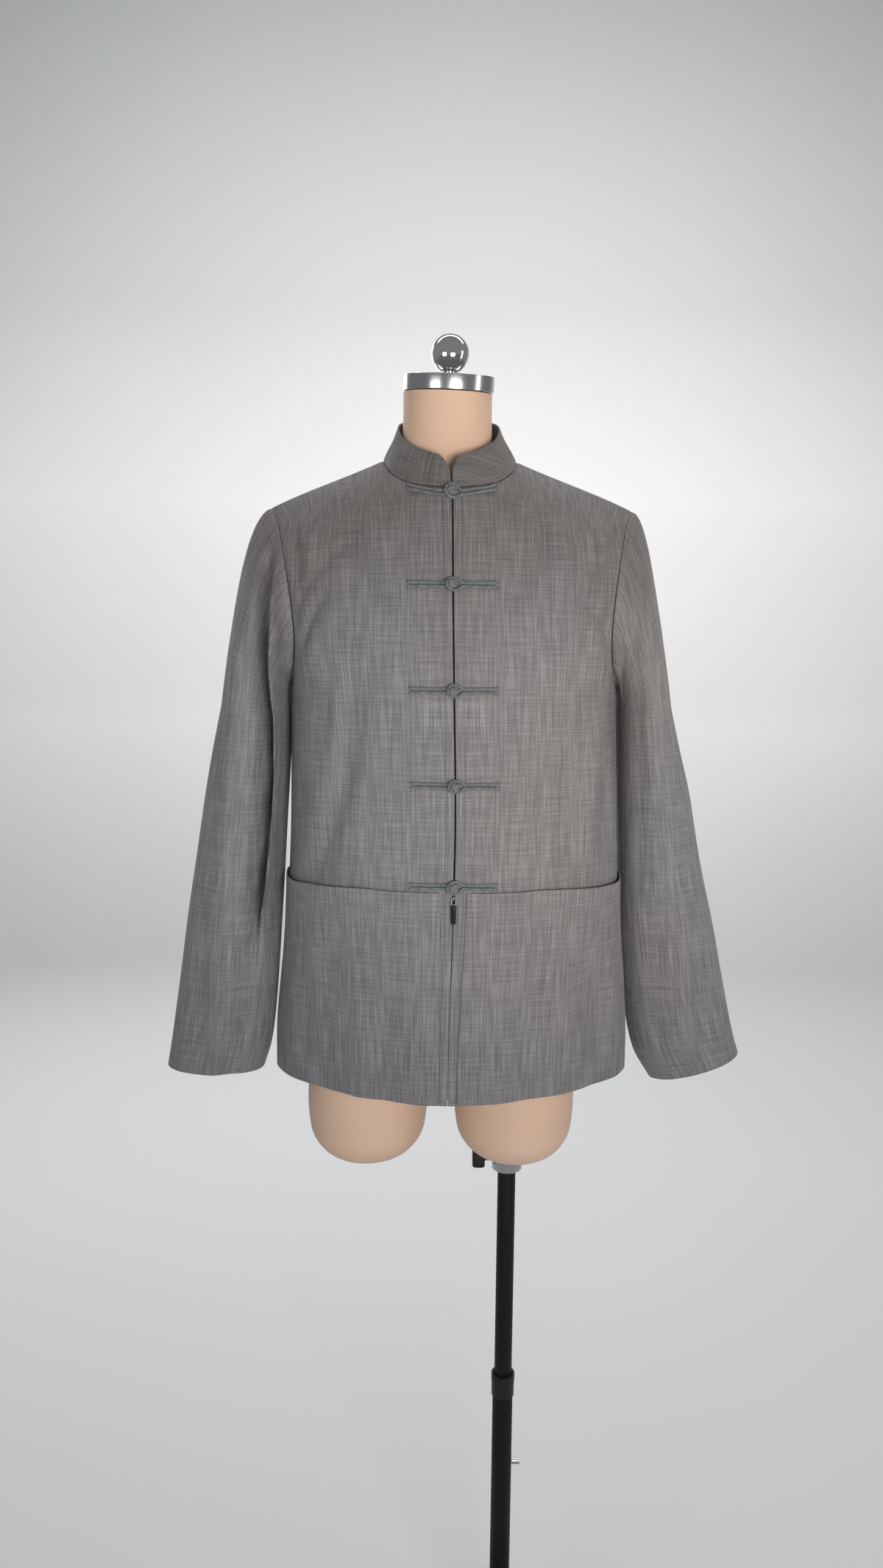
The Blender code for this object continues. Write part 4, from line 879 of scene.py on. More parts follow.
def armholeLoop(side):
    # from the shoulder tip, down the front, under the arm and up the back
    places = [row for row in rowPlaces() if row >= underarmRow]
    loop = [(bodyPoint(frontRows, row, 1.0, side), armholeOut(side, row, True))
            for row in reversed(places[1:])]
    loop += [(bodyPoint(backRows, row, 1.0, side), armholeOut(side, row, False)) for row in places[:-1]]
    loop[0][0].y += gap / 2
    loop[len(places) - 1][0].y -= gap / 2
    seam = []
    for index, (point, way) in enumerate(loop):
        run = loop[(index + 1) % len(loop)][0] - loop[index - 1][0]
        apart = run.cross(way).normalized() * gap * 1.3
        seam.append(point + (apart if apart.x * side > 0 else -apart))
    return seam


def sleeveRing(side, section, count):
    middleX, middleY, middleZ, halfWidth, halfDepth, drop = section
    return [Vector((side * (middleX + halfWidth * out), middleY - halfDepth * forward, middleZ + drop * out))
            for out, forward in circle(count, 1.0)]


foldTrough = 0.95             # how deep the trough beside a step is, as a share of the step
foldEnd = 0.03                # how far a fold runs on past both ends of its path
foldFade = 0.07               # the height over which it fades in and out


def foldShift(folds, height, turn):
    # how far the folds move a place of the sleeve: square to it, and to the front
    outward, forward = 0.0, 0.0
    for kind, depth, sharp, slow, path in folds:
        foot, head = path[-1][0] - foldEnd, path[0][0] + foldEnd
        if not foot < height < head:
            continue
        away = (turn - readOff(path[::-1], height) + 180) % 360 - 180
        fade = smoothStep((height - foot) / foldFade) * smoothStep((head - height) / foldFade)
        fade *= 0.85 + 0.3 * noise.noise(Vector((height * 14, depth * 700, sharp)))
        if kind == "crease":
            outward += depth * fade * hump(away, slow)
        elif away >= 0:
            forward += depth * fade * hump(away, slow)
        else:
            fall = smoothStep(-away / sharp)
            rise = hump(max(0.0, -away - sharp), slow)
            forward += depth * fade * (1 - fall - foldTrough * fall * rise)
    return outward, forward


def makeSleeve(word, side):
    sections = sleeveSections[word]
    seam = armholeLoop(side)
    count = len(seam)
    places = [step / sleeve["sectionRows"] for step in range((len(sections) - 1) * sleeve["sectionRows"])]
    places.append(float(len(sections) - 1))
    lower = [sleeveRing(side, smoothRow(sections, spot), count) for spot in places]
    rings = []
    for step in range(sleeve["capRows"]):
        part = step / sleeve["capRows"]
        ring = []
        for j in range(count):
            topShare = (1 + math.cos(2 * math.pi * j / count)) / 2
            reach = sleeve["ease"] + sleeve["fullness"][word] * topShare
            leave = Vector((side, 0, -0.45)).normalized() * reach
            level = (lower[1][j] - lower[0][j]).normalized()
            span = (seam[j] - lower[0][j]).length
            arrive = (level * -0.6 + Vector((0, 0, 0.4))) * span * sleeve["capReach"]
            ring.append(bezier(seam[j], seam[j] + leave, lower[0][j] + arrive, lower[0][j], part))
        rings.append(ring)
    rings += lower

    def core(point):
        low = min(max((sections[0][2] - point.z) / (sections[0][2] - sections[-1][2]), 0.0), 1.0)
        spot = low * (len(sections) - 1)
        row = smoothRow(sections, spot)
        return Vector((side * row[0], row[1], min(point.z, sections[0][2])))

    normals = gridNormals(rings, True, core)
    moved = []
    fallen = [0.0] * count
    for i, (ring, ways) in enumerate(zip(rings, normals)):
        line = []
        for j, (point, way) in enumerate(zip(ring, ways)):
            if i:
                fallen[j] += (point - rings[i - 1][j]).length
            turn = 360.0 * j / count
            calm = smoothStep((fallen[j] - 0.004) / 0.035)
            outward, forward = foldShift(sleeveFolds[word], point.z, turn)
            shift = outward * calm
            angle = math.radians(turn)
            shift += 0.0012 * calm * noise.noise(Vector((math.cos(angle) * 1.6, math.sin(angle) * 1.6,
                                                         point.z * 8 + side)))
            shift += edgeDip(fallen[j]) * 0.6
            line.append(point + way * shift - Vector((0, forward * calm, 0)))
        moved.append(line)
    depth = [0.0]
    for i in range(1, len(moved)):
        depth.append(depth[-1] + (moved[i][0] - moved[i - 1][0]).length)
    grain = [[(sleeve["girth"] * j / count, -down) for j in range(count + 1)] for down in depth]
    # the ring starts next to the body, so that the grain's own join is hidden there
    under = count // 2
    turned = [row[under:] + row[:under] for row in moved]
    mesh = clothMesh(f"sleeve_{word}", turned, grain, True,
                     lambda i, j: turned[i][j] - core(turned[i][j]))
    return sewn(f"sleeve_{word}", mesh)


sleeves = {word: makeSleeve(word, side) for word, side in wearerSides}
print("sleeves are set in")


# ---- collar
collar = {"rows": 12, "stations": 60, "corner": 0.028, "notch": 0.0155, "notchPower": 2.4, "belly": 0.0016,
          "thickness": 0.0018, "girth": 0.26,
          # close stations beside the front corner, as shares of half the collar
          "early": (0.0, 0.0008, 0.002, 0.004, 0.007, 0.011, 0.015, 0.020, 0.026, 0.033, 0.041, 0.050, 0.060)}
collarMiddle = Vector((0.003, -0.02, 0))


def neckline(share, side):
    places = [row for row in rowPlaces() if row >= neckCornerRow]
    edge = [bodyPoint(frontRows, row, 0.0, side) for row in places]
    edge += [bodyPoint(backRows, row, 0.0, side) for row in reversed(places[:-1])]
    along = share * (len(edge) - 1)
    index = min(int(along), len(edge) - 2)
    return edge[index].lerp(edge[index + 1], along - index)


def neckOut(point):
    flat = Vector((point.x - sway(point.z), point.y + 0.02, 0)).normalized()
    return (flat + Vector((0, 0, 1))).normalized()


def makeCollar():
    columns = []
    first = collar["early"][-1]
    shares = [*collar["early"], *(first + (1 - first) * step / collar["stations"]
                                  for step in range(1, collar["stations"] + 1))]
    for side in (-1, 1):
        half = []
        for share in shares:
            low = neckline(share, side)
            low = low + (Vector((0, 0, math.sqrt(2))) - neckOut(low)).normalized() * gap * 1.6
            top = Vector(smoothRow(collarTop, share * (len(collarTop) - 1)))
            top = Vector((side * top.x + sway(top.z), top.y, top.z))
            fromCorner = max(0.0, 1 - share * collar["girth"] / collar["corner"])
            cut = collar["notch"] * fromCorner ** collar["notchPower"]
            top = top + (low - top).normalized() * cut
            column = []
            for step in range(collar["rows"] + 1):
                part = step / collar["rows"]
                point = low.lerp(top, part)
                out = Vector((point.x - collarMiddle.x, point.y - collarMiddle.y, 0)).normalized()
                column.append(point + out * collar["belly"] * math.sin(math.pi * part))
            half.append(column)
        columns.append(half)
    line = columns[0] + columns[1][-2::-1]
    grid = [[column[row] for column in line] for row in range(collar["rows"] + 1)]
    grain = []
    for row in grid:
        across = 0.0
        spots = []
        for j, point in enumerate(row):
            if j:
                across += (point - row[j - 1]).length
            spots.append((across, (point - grid[0][j]).length))
        grain.append(spots)
    mesh = clothMesh("collar", grid, grain, False,
                     lambda i, j: grid[i][j] - Vector((collarMiddle.x, collarMiddle.y, grid[i][j].z)))
    return sewn("collar", mesh, "shadedCollarWool", collar["thickness"])


collarPiece = makeCollar()
print("collar stands")


# ---- places on the fronts
def panelSpot(side, row, across):
    grid, normals, places, columns = panelGrids[side]
    i = min(bisect_right(places, row), len(places) - 1) - 1
    up = (row - places[i]) / (places[i + 1] - places[i])
    j = min(bisect_right(columns, across), len(columns) - 1) - 1
    out = (across - columns[j]) / (columns[j + 1] - columns[j])
    found = [table[i][j].lerp(table[i][j + 1], out).lerp(table[i + 1][j].lerp(table[i + 1][j + 1], out), up)
             for table in (grid, normals)]
    return found[0], found[1].normalized()


def rowAtHeight(height):
    low, high = 0.0, float(neckCornerRow)
    for _ in range(24):
        middle = (low + high) / 2
        if panelSpot(1, middle, 0.0)[0].z < height:
            low = middle
        else:
            high = middle
    return low


def onFront(side, height, along):
    row = rowAtHeight(height)
    spot = panelSpot(side, row, 0.0)
    if along <= 0:
        return spot
    across, walked, step, length = 0.0, 0.0, 0.004, 1.0
    while walked < along:
        across += step
        following = panelSpot(side, row, across)
        length = (following[0] - spot[0]).length
        walked += length
        spot = following
    return panelSpot(side, row, across - step * (walked - along) / length)


# ---- pockets
pocket = {"mouth": 0.262, "gape": 0.0062, "low": 0.012, "fromEdge": 0.0385, "toSide": 0.9925, "rows": 46,
          "columns": 70, "fullness": 0.0007, "turnedEdge": 0.0005,
          # how the mouth rises and dips on its way to the side: share of the width, rise in rows
          "line": ((0.00, 0.010), (0.19, 0.024), (0.32, 0.045), (0.55, 0.000), (0.80, -0.035), (0.93, 0.000),
                   (1.00, 0.030))}


def makePocket(word, side):
    mouthRow = rowAtHeight(pocket["mouth"])
    width = pocket["toSide"] - pocket["fromEdge"]
    grid = []
    for i in range(pocket["rows"] + 1):
        share = i / pocket["rows"]
        row = pocket["low"] + (mouthRow - pocket["low"]) * (1 - (1 - share) ** 1.4)
        line = []
        for j in range(pocket["columns"] + 1):
            across = pocket["fromEdge"] + width * j / pocket["columns"]
            rise = sum(readOff(pocket["line"], across + step) for step in (-0.06, -0.02, 0.02, 0.06)) / 4
            point, way = panelSpot(side, row + rise * row / mouthRow, across)
            bulge = math.sin(math.pi * (across - pocket["fromEdge"]) / width)
            nearMouth = max(0.0, row - mouthRow + 1.2) / 1.2
            lift = gap * 1.5 + cloth["thickness"] + pocket["gape"] * bulge * nearMouth ** 1.5
            lift += pocket["fullness"] * bulge
            lift += pocket["turnedEdge"] * smoothStep((row - mouthRow + 0.16) / 0.02) * bulge
            line.append(point + way * lift)
        grid.append(line)
    # cut from another place of the cloth than the front under it
    grain = [[(u + 0.31, v + 0.013) for u, v in row] for row in panelGrain(grid)]
    mesh = clothMesh(f"pocket_{word}", grid, grain, False, lambda i, j: Vector((0, -1, 0)))
    return sewn(f"pocket_{word}", mesh)


pockets = {word: makePocket(word, side) for word, side in wearerSides}
print("pockets are on")


# ---- stitches and zip teeth, set along paths by Geometry Nodes
def alongPathTree(name, shape):
    # instances of one small shape at an even pitch along every path of the object
    tree = bpy.data.node_groups.new(name, "GeometryNodeTree")
    face = tree.interface
    face.new_socket("Geometry", in_out="INPUT", socket_type="NodeSocketGeometry")
    sockets = {}
    for word, kind in (("Pitch", "NodeSocketFloat"), ("Size", "NodeSocketVector"),
                       ("Slant", "NodeSocketFloat"), ("Seed", "NodeSocketInt"),
                       ("Finish", "NodeSocketMaterial")):
        sockets[word] = face.new_socket(word, in_out="INPUT", socket_type=kind).identifier
    face.new_socket("Geometry", in_out="OUTPUT", socket_type="NodeSocketGeometry")
    into = put(tree, "NodeGroupInput")
    outOf = put(tree, "NodeGroupOutput")
    spaced = put(tree, "GeometryNodeResampleCurve", mode="LENGTH")
    join(tree, into.outputs["Geometry"], spaced.inputs["Curve"])
    join(tree, into.outputs["Pitch"], spaced.inputs["Length"])
    if shape == "thread":
        small = put(tree, "GeometryNodeMeshUVSphere")
        setInputs(small, {"Segments": 6, "Rings": 4, "Radius": 0.5})
    else:
        small = put(tree, "GeometryNodeMeshCube")
    tangent = put(tree, "GeometryNodeInputTangent")
    aim = put(tree, "FunctionNodeAlignRotationToVector", axis="Z")
    join(tree, tangent.outputs[0], aim.inputs["Vector"])
    jitter = put(tree, "FunctionNodeRandomValue", data_type="FLOAT")
    jitter.inputs[2].default_value = -1.0
    jitter.inputs[3].default_value = 1.0
    join(tree, into.outputs["Seed"], jitter.inputs["Seed"])
    lean = math2(tree, "MULTIPLY", jitter.outputs[1], into.outputs["Slant"])
    tip = put(tree, "ShaderNodeCombineXYZ")
    join(tree, lean, tip.inputs["X"])
    join(tree, lean, tip.inputs["Y"])
    turn = put(tree, "FunctionNodeRotateRotation", rotation_space="LOCAL")
    join(tree, aim.outputs[0], turn.inputs[0])
    join(tree, tip.outputs[0], turn.inputs[1])
    copies = put(tree, "GeometryNodeInstanceOnPoints")
    join(tree, spaced.outputs[0], copies.inputs["Points"])
    join(tree, small.outputs["Mesh"], copies.inputs["Instance"])
    join(tree, turn.outputs[0], copies.inputs["Rotation"])
    join(tree, into.outputs["Size"], copies.inputs["Scale"])
    real = put(tree, "GeometryNodeRealizeInstances")
    join(tree, copies.outputs[0], real.inputs[0])
    paint = put(tree, "GeometryNodeSetMaterial")
    join(tree, real.outputs[0], paint.inputs["Geometry"])
    join(tree, into.outputs["Finish"], paint.inputs["Material"])
    join(tree, paint.outputs[0], outOf.inputs[0])
    return tree, sockets


def rowOfShapes(name, paths, shape, pitch, size, slant, seed, finish):
    curve = bpy.data.curves.new(name, "CURVE")
    curve.dimensions = "3D"
    for path in paths:
        line = curve.splines.new("POLY")
        line.points.add(len(path) - 1)
        line.points.foreach_set("co", [value for point in path for value in (*(point + figureAt), 1.0)])
    source = placed(f"{name}_path", curve)
    tree, sockets = alongPathTree(f"{name}_rows", shape)
    work = source.modifiers.new("rows", "NODES")
    work.node_group = tree
    for word, value in (("Pitch", pitch), ("Size", size), ("Slant", slant), ("Seed", seed),
                        ("Finish", finishes[finish])):
        work[sockets[word]] = value
    mesh = evaluatedMesh(source)
    bpy.data.objects.remove(source)
    mesh.shade_smooth()
    return placed(name, mesh)


stitch = {"pitch": 0.0034, "size": (0.00050, 0.00042, 0.0025), "slant": 0.10, "proud": 0.0001,
          "low": 0.004, "high": 0.724}


def edgePath(side, along, low, high, out, steps=150):
    return [spot + way * out for spot, way in
            (onFront(side, low + (high - low) * step / steps, along) for step in range(steps + 1))]


for word, side in wearerSides:
    seam = edgePath(side, stitchFromEdge, stitch["low"], stitch["high"], stitch["proud"])
    line = rowOfShapes(f"edge_stitches_{word}", [seam], "thread", stitch["pitch"], stitch["size"],
                       stitch["slant"], 5 + side, "thread")
    finishPiece(line, "figure", "thread")


# ---- zip
zipParts = {"across": 0.0333, "behind": 0.0004, "thickness": 0.0009, "low": 0.008, "high": 0.722,
            "toothPitch": 0.0019, "toothSize": (0.0022, 0.0016, 0.0010), "columns": 8, "rows": 150}


def makeZipTape(word, side):
    grid = []
    for i in range(zipParts["rows"] + 1):
        height = zipParts["low"] + (zipParts["high"] - zipParts["low"]) * i / zipParts["rows"]
        row = rowAtHeight(height)
        line = []
        for j in range(zipParts["columns"] + 1):
            across = zipParts["across"] * j / zipParts["columns"]
            point, way = panelSpot(side, row, across)
            line.append(point - way * (cloth["thickness"] + zipParts["behind"]))
        grid.append(line)
    mesh = clothMesh(f"zip_tape_{word}", grid, panelGrain(grid), False, lambda i, j: Vector((0, -1, 0)))
    tape = sewn(f"zip_tape_{word}", mesh, "tape", zipParts["thickness"])
    edge = [line[0] + Vector((-side * 0.0001, zipParts["thickness"] * 0.6, 0)) for line in grid]
    teeth = rowOfShapes(f"zip_teeth_{word}", [edge], "tooth", zipParts["toothPitch"], zipParts["toothSize"],
                        0.0, 3, "zipMetal")
    finishPiece(teeth, "figure", "zipMetal")
    return tape


tapes = {word: makeZipTape(word, side) for word, side in wearerSides}
print("stitches and zip are in")


# ---- tubes along a route
def alongRoute(route, steps):
    # a smooth line through the route's own points, ends included
    last = len(route) - 1
    return [Vector(smoothRow(route, last * step / steps)) for step in range(steps + 1)]


def addTube(shape, layer, points, radiusAt, sides, closed=False):
    # a round tube along the points, with its grain in metres round and along it
    count = len(points)
    up = None
    rings = []
    lengths = [0.0]
    for index, point in enumerate(points):
        if closed:
            ahead, behind = points[(index + 1) % count], points[index - 1]
        else:
            ahead, behind = points[min(index + 1, count - 1)], points[max(index - 1, 0)]
        run = (ahead - behind).normalized()
        if up is None:
            up = run.orthogonal().normalized()
        up = (up - run * up.dot(run)).normalized()
        across = run.cross(up)
        radius = radiusAt(index / max(1, count - 1))
        rings.append([shape.verts.new(point + up * x + across * y) for x, y in circle(sides, radius)])
        if index:
            lengths.append(lengths[-1] + (point - points[index - 1]).length)
    girth = 2 * math.pi * radiusAt(0.5)
    spans = range(count if closed else count - 1)
    for index in spans:
        low, high = rings[index], rings[(index + 1) % count]
        for k in range(sides):
            m = (k + 1) % sides
            face = shape.faces.new((low[k], low[m], high[m], high[k]))
            top = lengths[index + 1] if index + 1 < count else lengths[-1] + 0.001
            places = ((k, lengths[index]), (k + 1, lengths[index]), (k + 1, top), (k, top))
            for loop, (around, along) in zip(face.loops, places):
                loop[layer].uv = (girth * around / sides, along)
    if not closed:
        for ring, turned in ((rings[0], True), (rings[-1], False)):
            shape.faces.new(ring[::-1] if turned else ring)


def fromShape(name, shape, smooth=50):
    mesh = bpy.data.meshes.new(name)
    shape.to_mesh(mesh)
    shape.free()
    mesh.shade_smooth()
    mesh.set_sharp_from_angle(angle=math.radians(smooth))
    return placed(name, mesh)


# ---- frogs
frog = {
    "heights": (0.726, 0.621, 0.500, 0.390, 0.271), "reach": 0.051, "cord": 0.0019, "bend": 0.008,
    "ballRadius": 0.0042, "ballCord": 0.0016, "ballOut": 0.0086, "ballLeads": 3, "ballBights": 4,
    "ballSteps": 150, "sides": 12, "wave": 0.0004, "stations": 96,
}
# the upper strand of each leg's cord, from its end to the knot: aside of the front line, up, out.
# The loop's cord goes round the far side of the knot at loopTurn, and the button's goes into the knot.
buttonLeg = (
    (0.0515, 0.0034, 0.0010), (0.049, 0.0028, 0.0020), (0.044, 0.0023, 0.0021), (0.034, 0.0022, 0.0020),
    (0.022, 0.0022, 0.0020), (0.012, 0.0022, 0.0022), (0.006, 0.0020, 0.0034), (0.002, 0.0016, 0.0050),
)
loopLeg = (
    (0.0515, 0.0036, 0.0010), (0.049, 0.0029, 0.0020), (0.044, 0.0023, 0.0021), (0.034, 0.0022, 0.0020),
    (0.022, 0.0022, 0.0020), (0.0135, 0.0022, 0.0021), (0.0092, 0.0025, 0.0026), (0.0066, 0.0048, 0.0042),
    (0.0024, 0.0066, 0.0056), (-0.0024, 0.0062, 0.0068), (-0.0056, 0.0036, 0.0076),
)
loopTurn = ((-0.0068, 0.0, 0.0078),)


def levelSpot(side, height, aside):
    # the spot of a front at a height, so far aside of the front line
    line = (onFront(1, height, 0.0)[0].x + onFront(-1, height, 0.0)[0].x) / 2
    low, high = 0.0, neckCornerRow + 0.9
    for _ in range(15):
        row = (low + high) / 2
        left, right = 0.0, 0.5
        for _ in range(13):
            across = (left + right) / 2
            if side * (panelSpot(side, row, across)[0].x - line) < aside:
                left = across
            else:
                right = across
        spot = panelSpot(side, row, across)
        if spot[0].z < height:
            low = row
        else:
            high = row
    return spot


def frogPoint(side, height, along, up, out):
    spot, way = levelSpot(side if along >= 0 else -side, height + up, abs(along))
    return spot + way * out


def frogLeg(name, side, height, number, strand, turn):
    bend = frog["bend"] if number == 1 else 0.0

    def lifted(along, up):
        # the first frog follows the neckline upwards, and each hangs a little unevenly
        wave = frog["wave"] * noise.noise(Vector((along * 70, number * 3.7, side * 1.3)))
        return up + wave + bend * (max(0.0, along) / frog["reach"]) ** 2

    route = [*strand, *turn, *[(along, -up, out) for along, up, out in reversed(strand)]]
    points = [frogPoint(side, height, along, lifted(along, up), out) + figureAt
              for along, up, out in alongRoute(route, frog["stations"])]

    def radiusAt(share):
        near = min(share, 1 - share) * 2
        flare = 1.0 + 0.12 * (1 - smoothStep(near / 0.10)) - 0.35 * (1 - smoothStep(near / 0.02))
        return frog["cord"] * flare * (1 + 0.05 * noise.noise(Vector((share * 34, number * 2.0, side))))

    shape = bmesh.new()
    layer = shape.loops.layers.uv.new("grain")
    addTube(shape, layer, points, radiusAt, frog["sides"])
    leg = fromShape(name + "_cord", shape)
    finishPiece(leg, "figure", "cord", [name])


def frogKnot(number, height):
    # one cord that winds over and under itself round a ball, on its way round three times
    first, way = onFront(1, height, 0.0)
    second, _ = onFront(-1, height, 0.0)
    centre = (first + second) / 2 + way * frog["ballOut"] + figureAt
    leads, steps = frog["ballLeads"], frog["ballSteps"]
    tilt = Matrix.Rotation(math.radians(25 + 40 * number), 3, way) @ way.to_track_quat("Z", "Y").to_matrix()
    points = []
    for step in range(steps):
        turn = 2 * math.pi * leads * step / steps
        sweep = turn * frog["ballBights"] / leads
        rise = 0.98 * math.sin(sweep)
        out = frog["ballRadius"] * (1 + 0.10 * math.cos(2 * sweep + 0.8))
        points.append(centre + tilt @ Vector((out * math.cos(rise) * math.cos(turn),
                                              out * math.cos(rise) * math.sin(turn),
                                              out * math.sin(rise))))
    shape = bmesh.new()
    layer = shape.loops.layers.uv.new("grain")
    addTube(shape, layer, points, lambda share: frog["ballCord"], 10, closed=True)
    core = bmesh.ops.create_uvsphere(shape, u_segments=20, v_segments=12, radius=frog["ballRadius"] * 0.97)
    bmesh.ops.translate(shape, vec=centre, verts=core["verts"])
    knot = fromShape(f"frog_{number}_knot", shape, 70)
    finishPiece(knot, "figure", "cord", [f"frog_{number}_button"])


for number, height in enumerate(frog["heights"], 1):
    frogLeg(f"frog_{number}_button_leg", -1, height, number, buttonLeg, ())
    frogLeg(f"frog_{number}_loop_leg", 1, height, number, loopLeg, loopTurn)
    frogKnot(number, height)
print("frogs are tied")


# ---- dress form
torsoRings = (
    # height, half width, front reach, back reach
    (0.004, 0.1700, 0.094, 0.096), (0.022, 0.1775, 0.101, 0.106), (0.060, 0.1785, 0.104, 0.110),
    (0.140, 0.1690, 0.100, 0.104), (0.220, 0.1560, 0.096, 0.092), (0.300, 0.1490, 0.098, 0.086),
    (0.380, 0.1540, 0.106, 0.092), (0.460, 0.1650, 0.115, 0.103), (0.540, 0.1730, 0.116, 0.110),
    (0.600, 0.1760, 0.108, 0.109), (0.650, 0.1790, 0.094, 0.100), (0.685, 0.1830, 0.078, 0.086),
    (0.705, 0.1830, 0.066, 0.076), (0.720, 0.1680, 0.060, 0.066), (0.734, 0.1380, 0.058, 0.058),
    (0.746, 0.1020, 0.060, 0.050), (0.758, 0.0740, 0.062, 0.043), (0.780, 0.0570, 0.063, 0.036),
    (0.818, 0.0548, 0.070, 0.032), (0.854, 0.0545, 0.0805, 0.0265),
)
thighRings = (
    # height, half width, half depth
    (0.045, 0.0730, 0.080), (-0.030, 0.0790, 0.086), (-0.066, 0.0785, 0.086), (-0.092, 0.0740, 0.082),
    (-0.110, 0.0620, 0.070), (-0.118, 0.0480, 0.055), (-0.120, 0.0300, 0.036),
)
form = {"sides": 72, "torsoSteps": 4, "thighSteps": 5, "thighMiddle": 0.0975, "thighBack": 0.004,
        "neckTilt": math.radians(8.5), "neckRoll": math.radians(1.6), "neckPivot": 0.027, "squareness": 0.90}
neckTurn = Matrix.Rotation(form["neckRoll"], 4, "Y") @ Matrix.Rotation(form["neckTilt"], 4, "X")


def loft(name, rings):
    shape = bmesh.new()
    rows = [[shape.verts.new(point + figureAt) for point in ring] for ring in rings]
    for low, high in zip(rows, rows[1:]):
        skin(shape, low, high)
    shape.faces.new(rows[0])
    shape.faces.new(rows[-1])
    bmesh.ops.recalc_face_normals(shape, faces=shape.faces)
    return fromShape(name, shape)


def spread(value, power):
    return math.copysign(abs(value) ** power, value)


def makeForm():
    count = form["sides"]
    last = (len(torsoRings) - 1) * form["torsoSteps"]
    neckFrom, neckEnd = torsoRings[-3][0], torsoRings[-1][0]
    tilt = neckTurn.to_3x3()
    rings = []
    for step in range(last + 1):
        height, halfWidth, front, back = smoothRow(torsoRings, step / form["torsoSteps"])
        share = max(0.0, (height - neckFrom) / (neckEnd - neckFrom))
        ring = []
        for k in range(count):
            turn = 2 * math.pi * k / count
            x = spread(math.cos(turn), form["squareness"]) * halfWidth
            y = spread(math.sin(turn), form["squareness"]) * (back if math.sin(turn) > 0 else front)
            flat = Vector((x, y + form["neckPivot"], 0))
            ring.append(Vector((x, y, height)) + (tilt @ flat - flat) * share)
        rings.append(ring)
    body = loft("dress_form", rings)
    for side in (-1, 1):
        rings = []
        for step in range((len(thighRings) - 1) * form["thighSteps"] + 1):
            height, halfWidth, halfDepth = smoothRow(thighRings, step / form["thighSteps"])
            rings.append([Vector((side * form["thighMiddle"] + x, form["thighBack"] + y, height))
                          for x, y in circle(count, halfWidth, halfDepth)])
        thigh = loft("thigh", rings)
        joint = body.modifiers.new("joint", "BOOLEAN")
        joint.operation = "UNION"
        joint.solver = "EXACT"
        joint.object = thigh
        applied(body)
        bpy.data.objects.remove(thigh)
    body.data.shade_smooth()
    body.data.set_sharp_from_angle(angle=math.radians(60))
    finishPiece(body, "figure", "jersey", ["form_torso"])


makeForm()


# ---- turned parts of the form and the stand
def turnedPiece(name, profile, matrix, body, finish, nodes, sides=96, smooth=35):
    # profile holds (radius, height) from the top down the outside; it closes on itself off the axis
    shape = bmesh.new()
    rings = []
    for radius, height in profile:
        if radius <= 0:
            rings.append([shape.verts.new(matrix @ Vector((0, 0, height)))])
        else:
            rings.append([shape.verts.new(matrix @ Vector((x, y, height))) for x, y in circle(sides, radius)])
    pairs = list(zip(rings, rings[1:]))
    if profile[0][0] > 0:
        pairs.append((rings[-1], rings[0]))
    for high, low in pairs:
        for k in range(sides):
            m = (k + 1) % sides
            if len(high) == 1:
                shape.faces.new((high[0], low[k], low[m]))
            elif len(low) == 1:
                shape.faces.new((high[k], low[0], high[m]))
            else:
                shape.faces.new((high[k], low[k], low[m], high[m]))
    bmesh.ops.recalc_face_normals(shape, faces=shape.faces)
    finishPiece(fromShape(name, shape, smooth), body, finish, nodes)


def rounded(profile, radius, steps=4):
    # the same outline with its corners off the axis rounded
    made = []
    for index, (x, z) in enumerate(profile):
        here = Vector((x, z))
        if x <= 0 or index in (0, len(profile) - 1) and profile[0][0] <= 0:
            made.append((x, z))
            continue
        before = Vector(profile[index - 1]) - here
        after = Vector(profile[(index + 1) % len(profile)]) - here
        cut = min(radius, before.length * 0.45, after.length * 0.45)
        start, end = here + before.normalized() * cut, here + after.normalized() * cut
        for step in range(steps + 1):
            part = step / steps
            made.append(tuple(start * (1 - part) ** 2 + here * (2 * part * (1 - part)) + end * part ** 2))
    return made


neckEnd = {"centre": Vector((0.0015, -0.027, 0.8640)), "radius": 0.0545, "thickness": 0.018,
           "ball": 0.0228, "ballSweep": 157, "ballLift": 0.002, "waist": 0.0080, "stem": 0.0095,
           "edge": 0.0011}
atNeck = Matrix.Translation(figureAt + neckEnd["centre"]) @ neckTurn
capHalf = neckEnd["thickness"] / 2
turnedPiece("neck_cap_steel",
            rounded([(0, capHalf), (neckEnd["radius"], capHalf), (neckEnd["radius"], -capHalf),
                     (0, -capHalf)], neckEnd["edge"]),
            atNeck, "figure", "brushed", ["neck_cap"], 160)
ballLow = capHalf + gap
ballMiddle = ballLow + neckEnd["ball"] + neckEnd["ballLift"]
ballTurns = [math.radians(turn) for turn in range(0, neckEnd["ballSweep"], 4)]
ballArc = [(neckEnd["ball"] * math.sin(turn), ballMiddle + neckEnd["ball"] * math.cos(turn))
           for turn in ballTurns]
turnedPiece("neck_ball_chrome",
            [*ballArc, (neckEnd["waist"], ballLow + 0.0034), (neckEnd["waist"], ballLow + 0.0026),
             (neckEnd["stem"], ballLow + 0.0018), (neckEnd["stem"], ballLow), (0, ballLow)],
            atNeck, "figure", "chrome", ["neck_ball"], 96, 50)

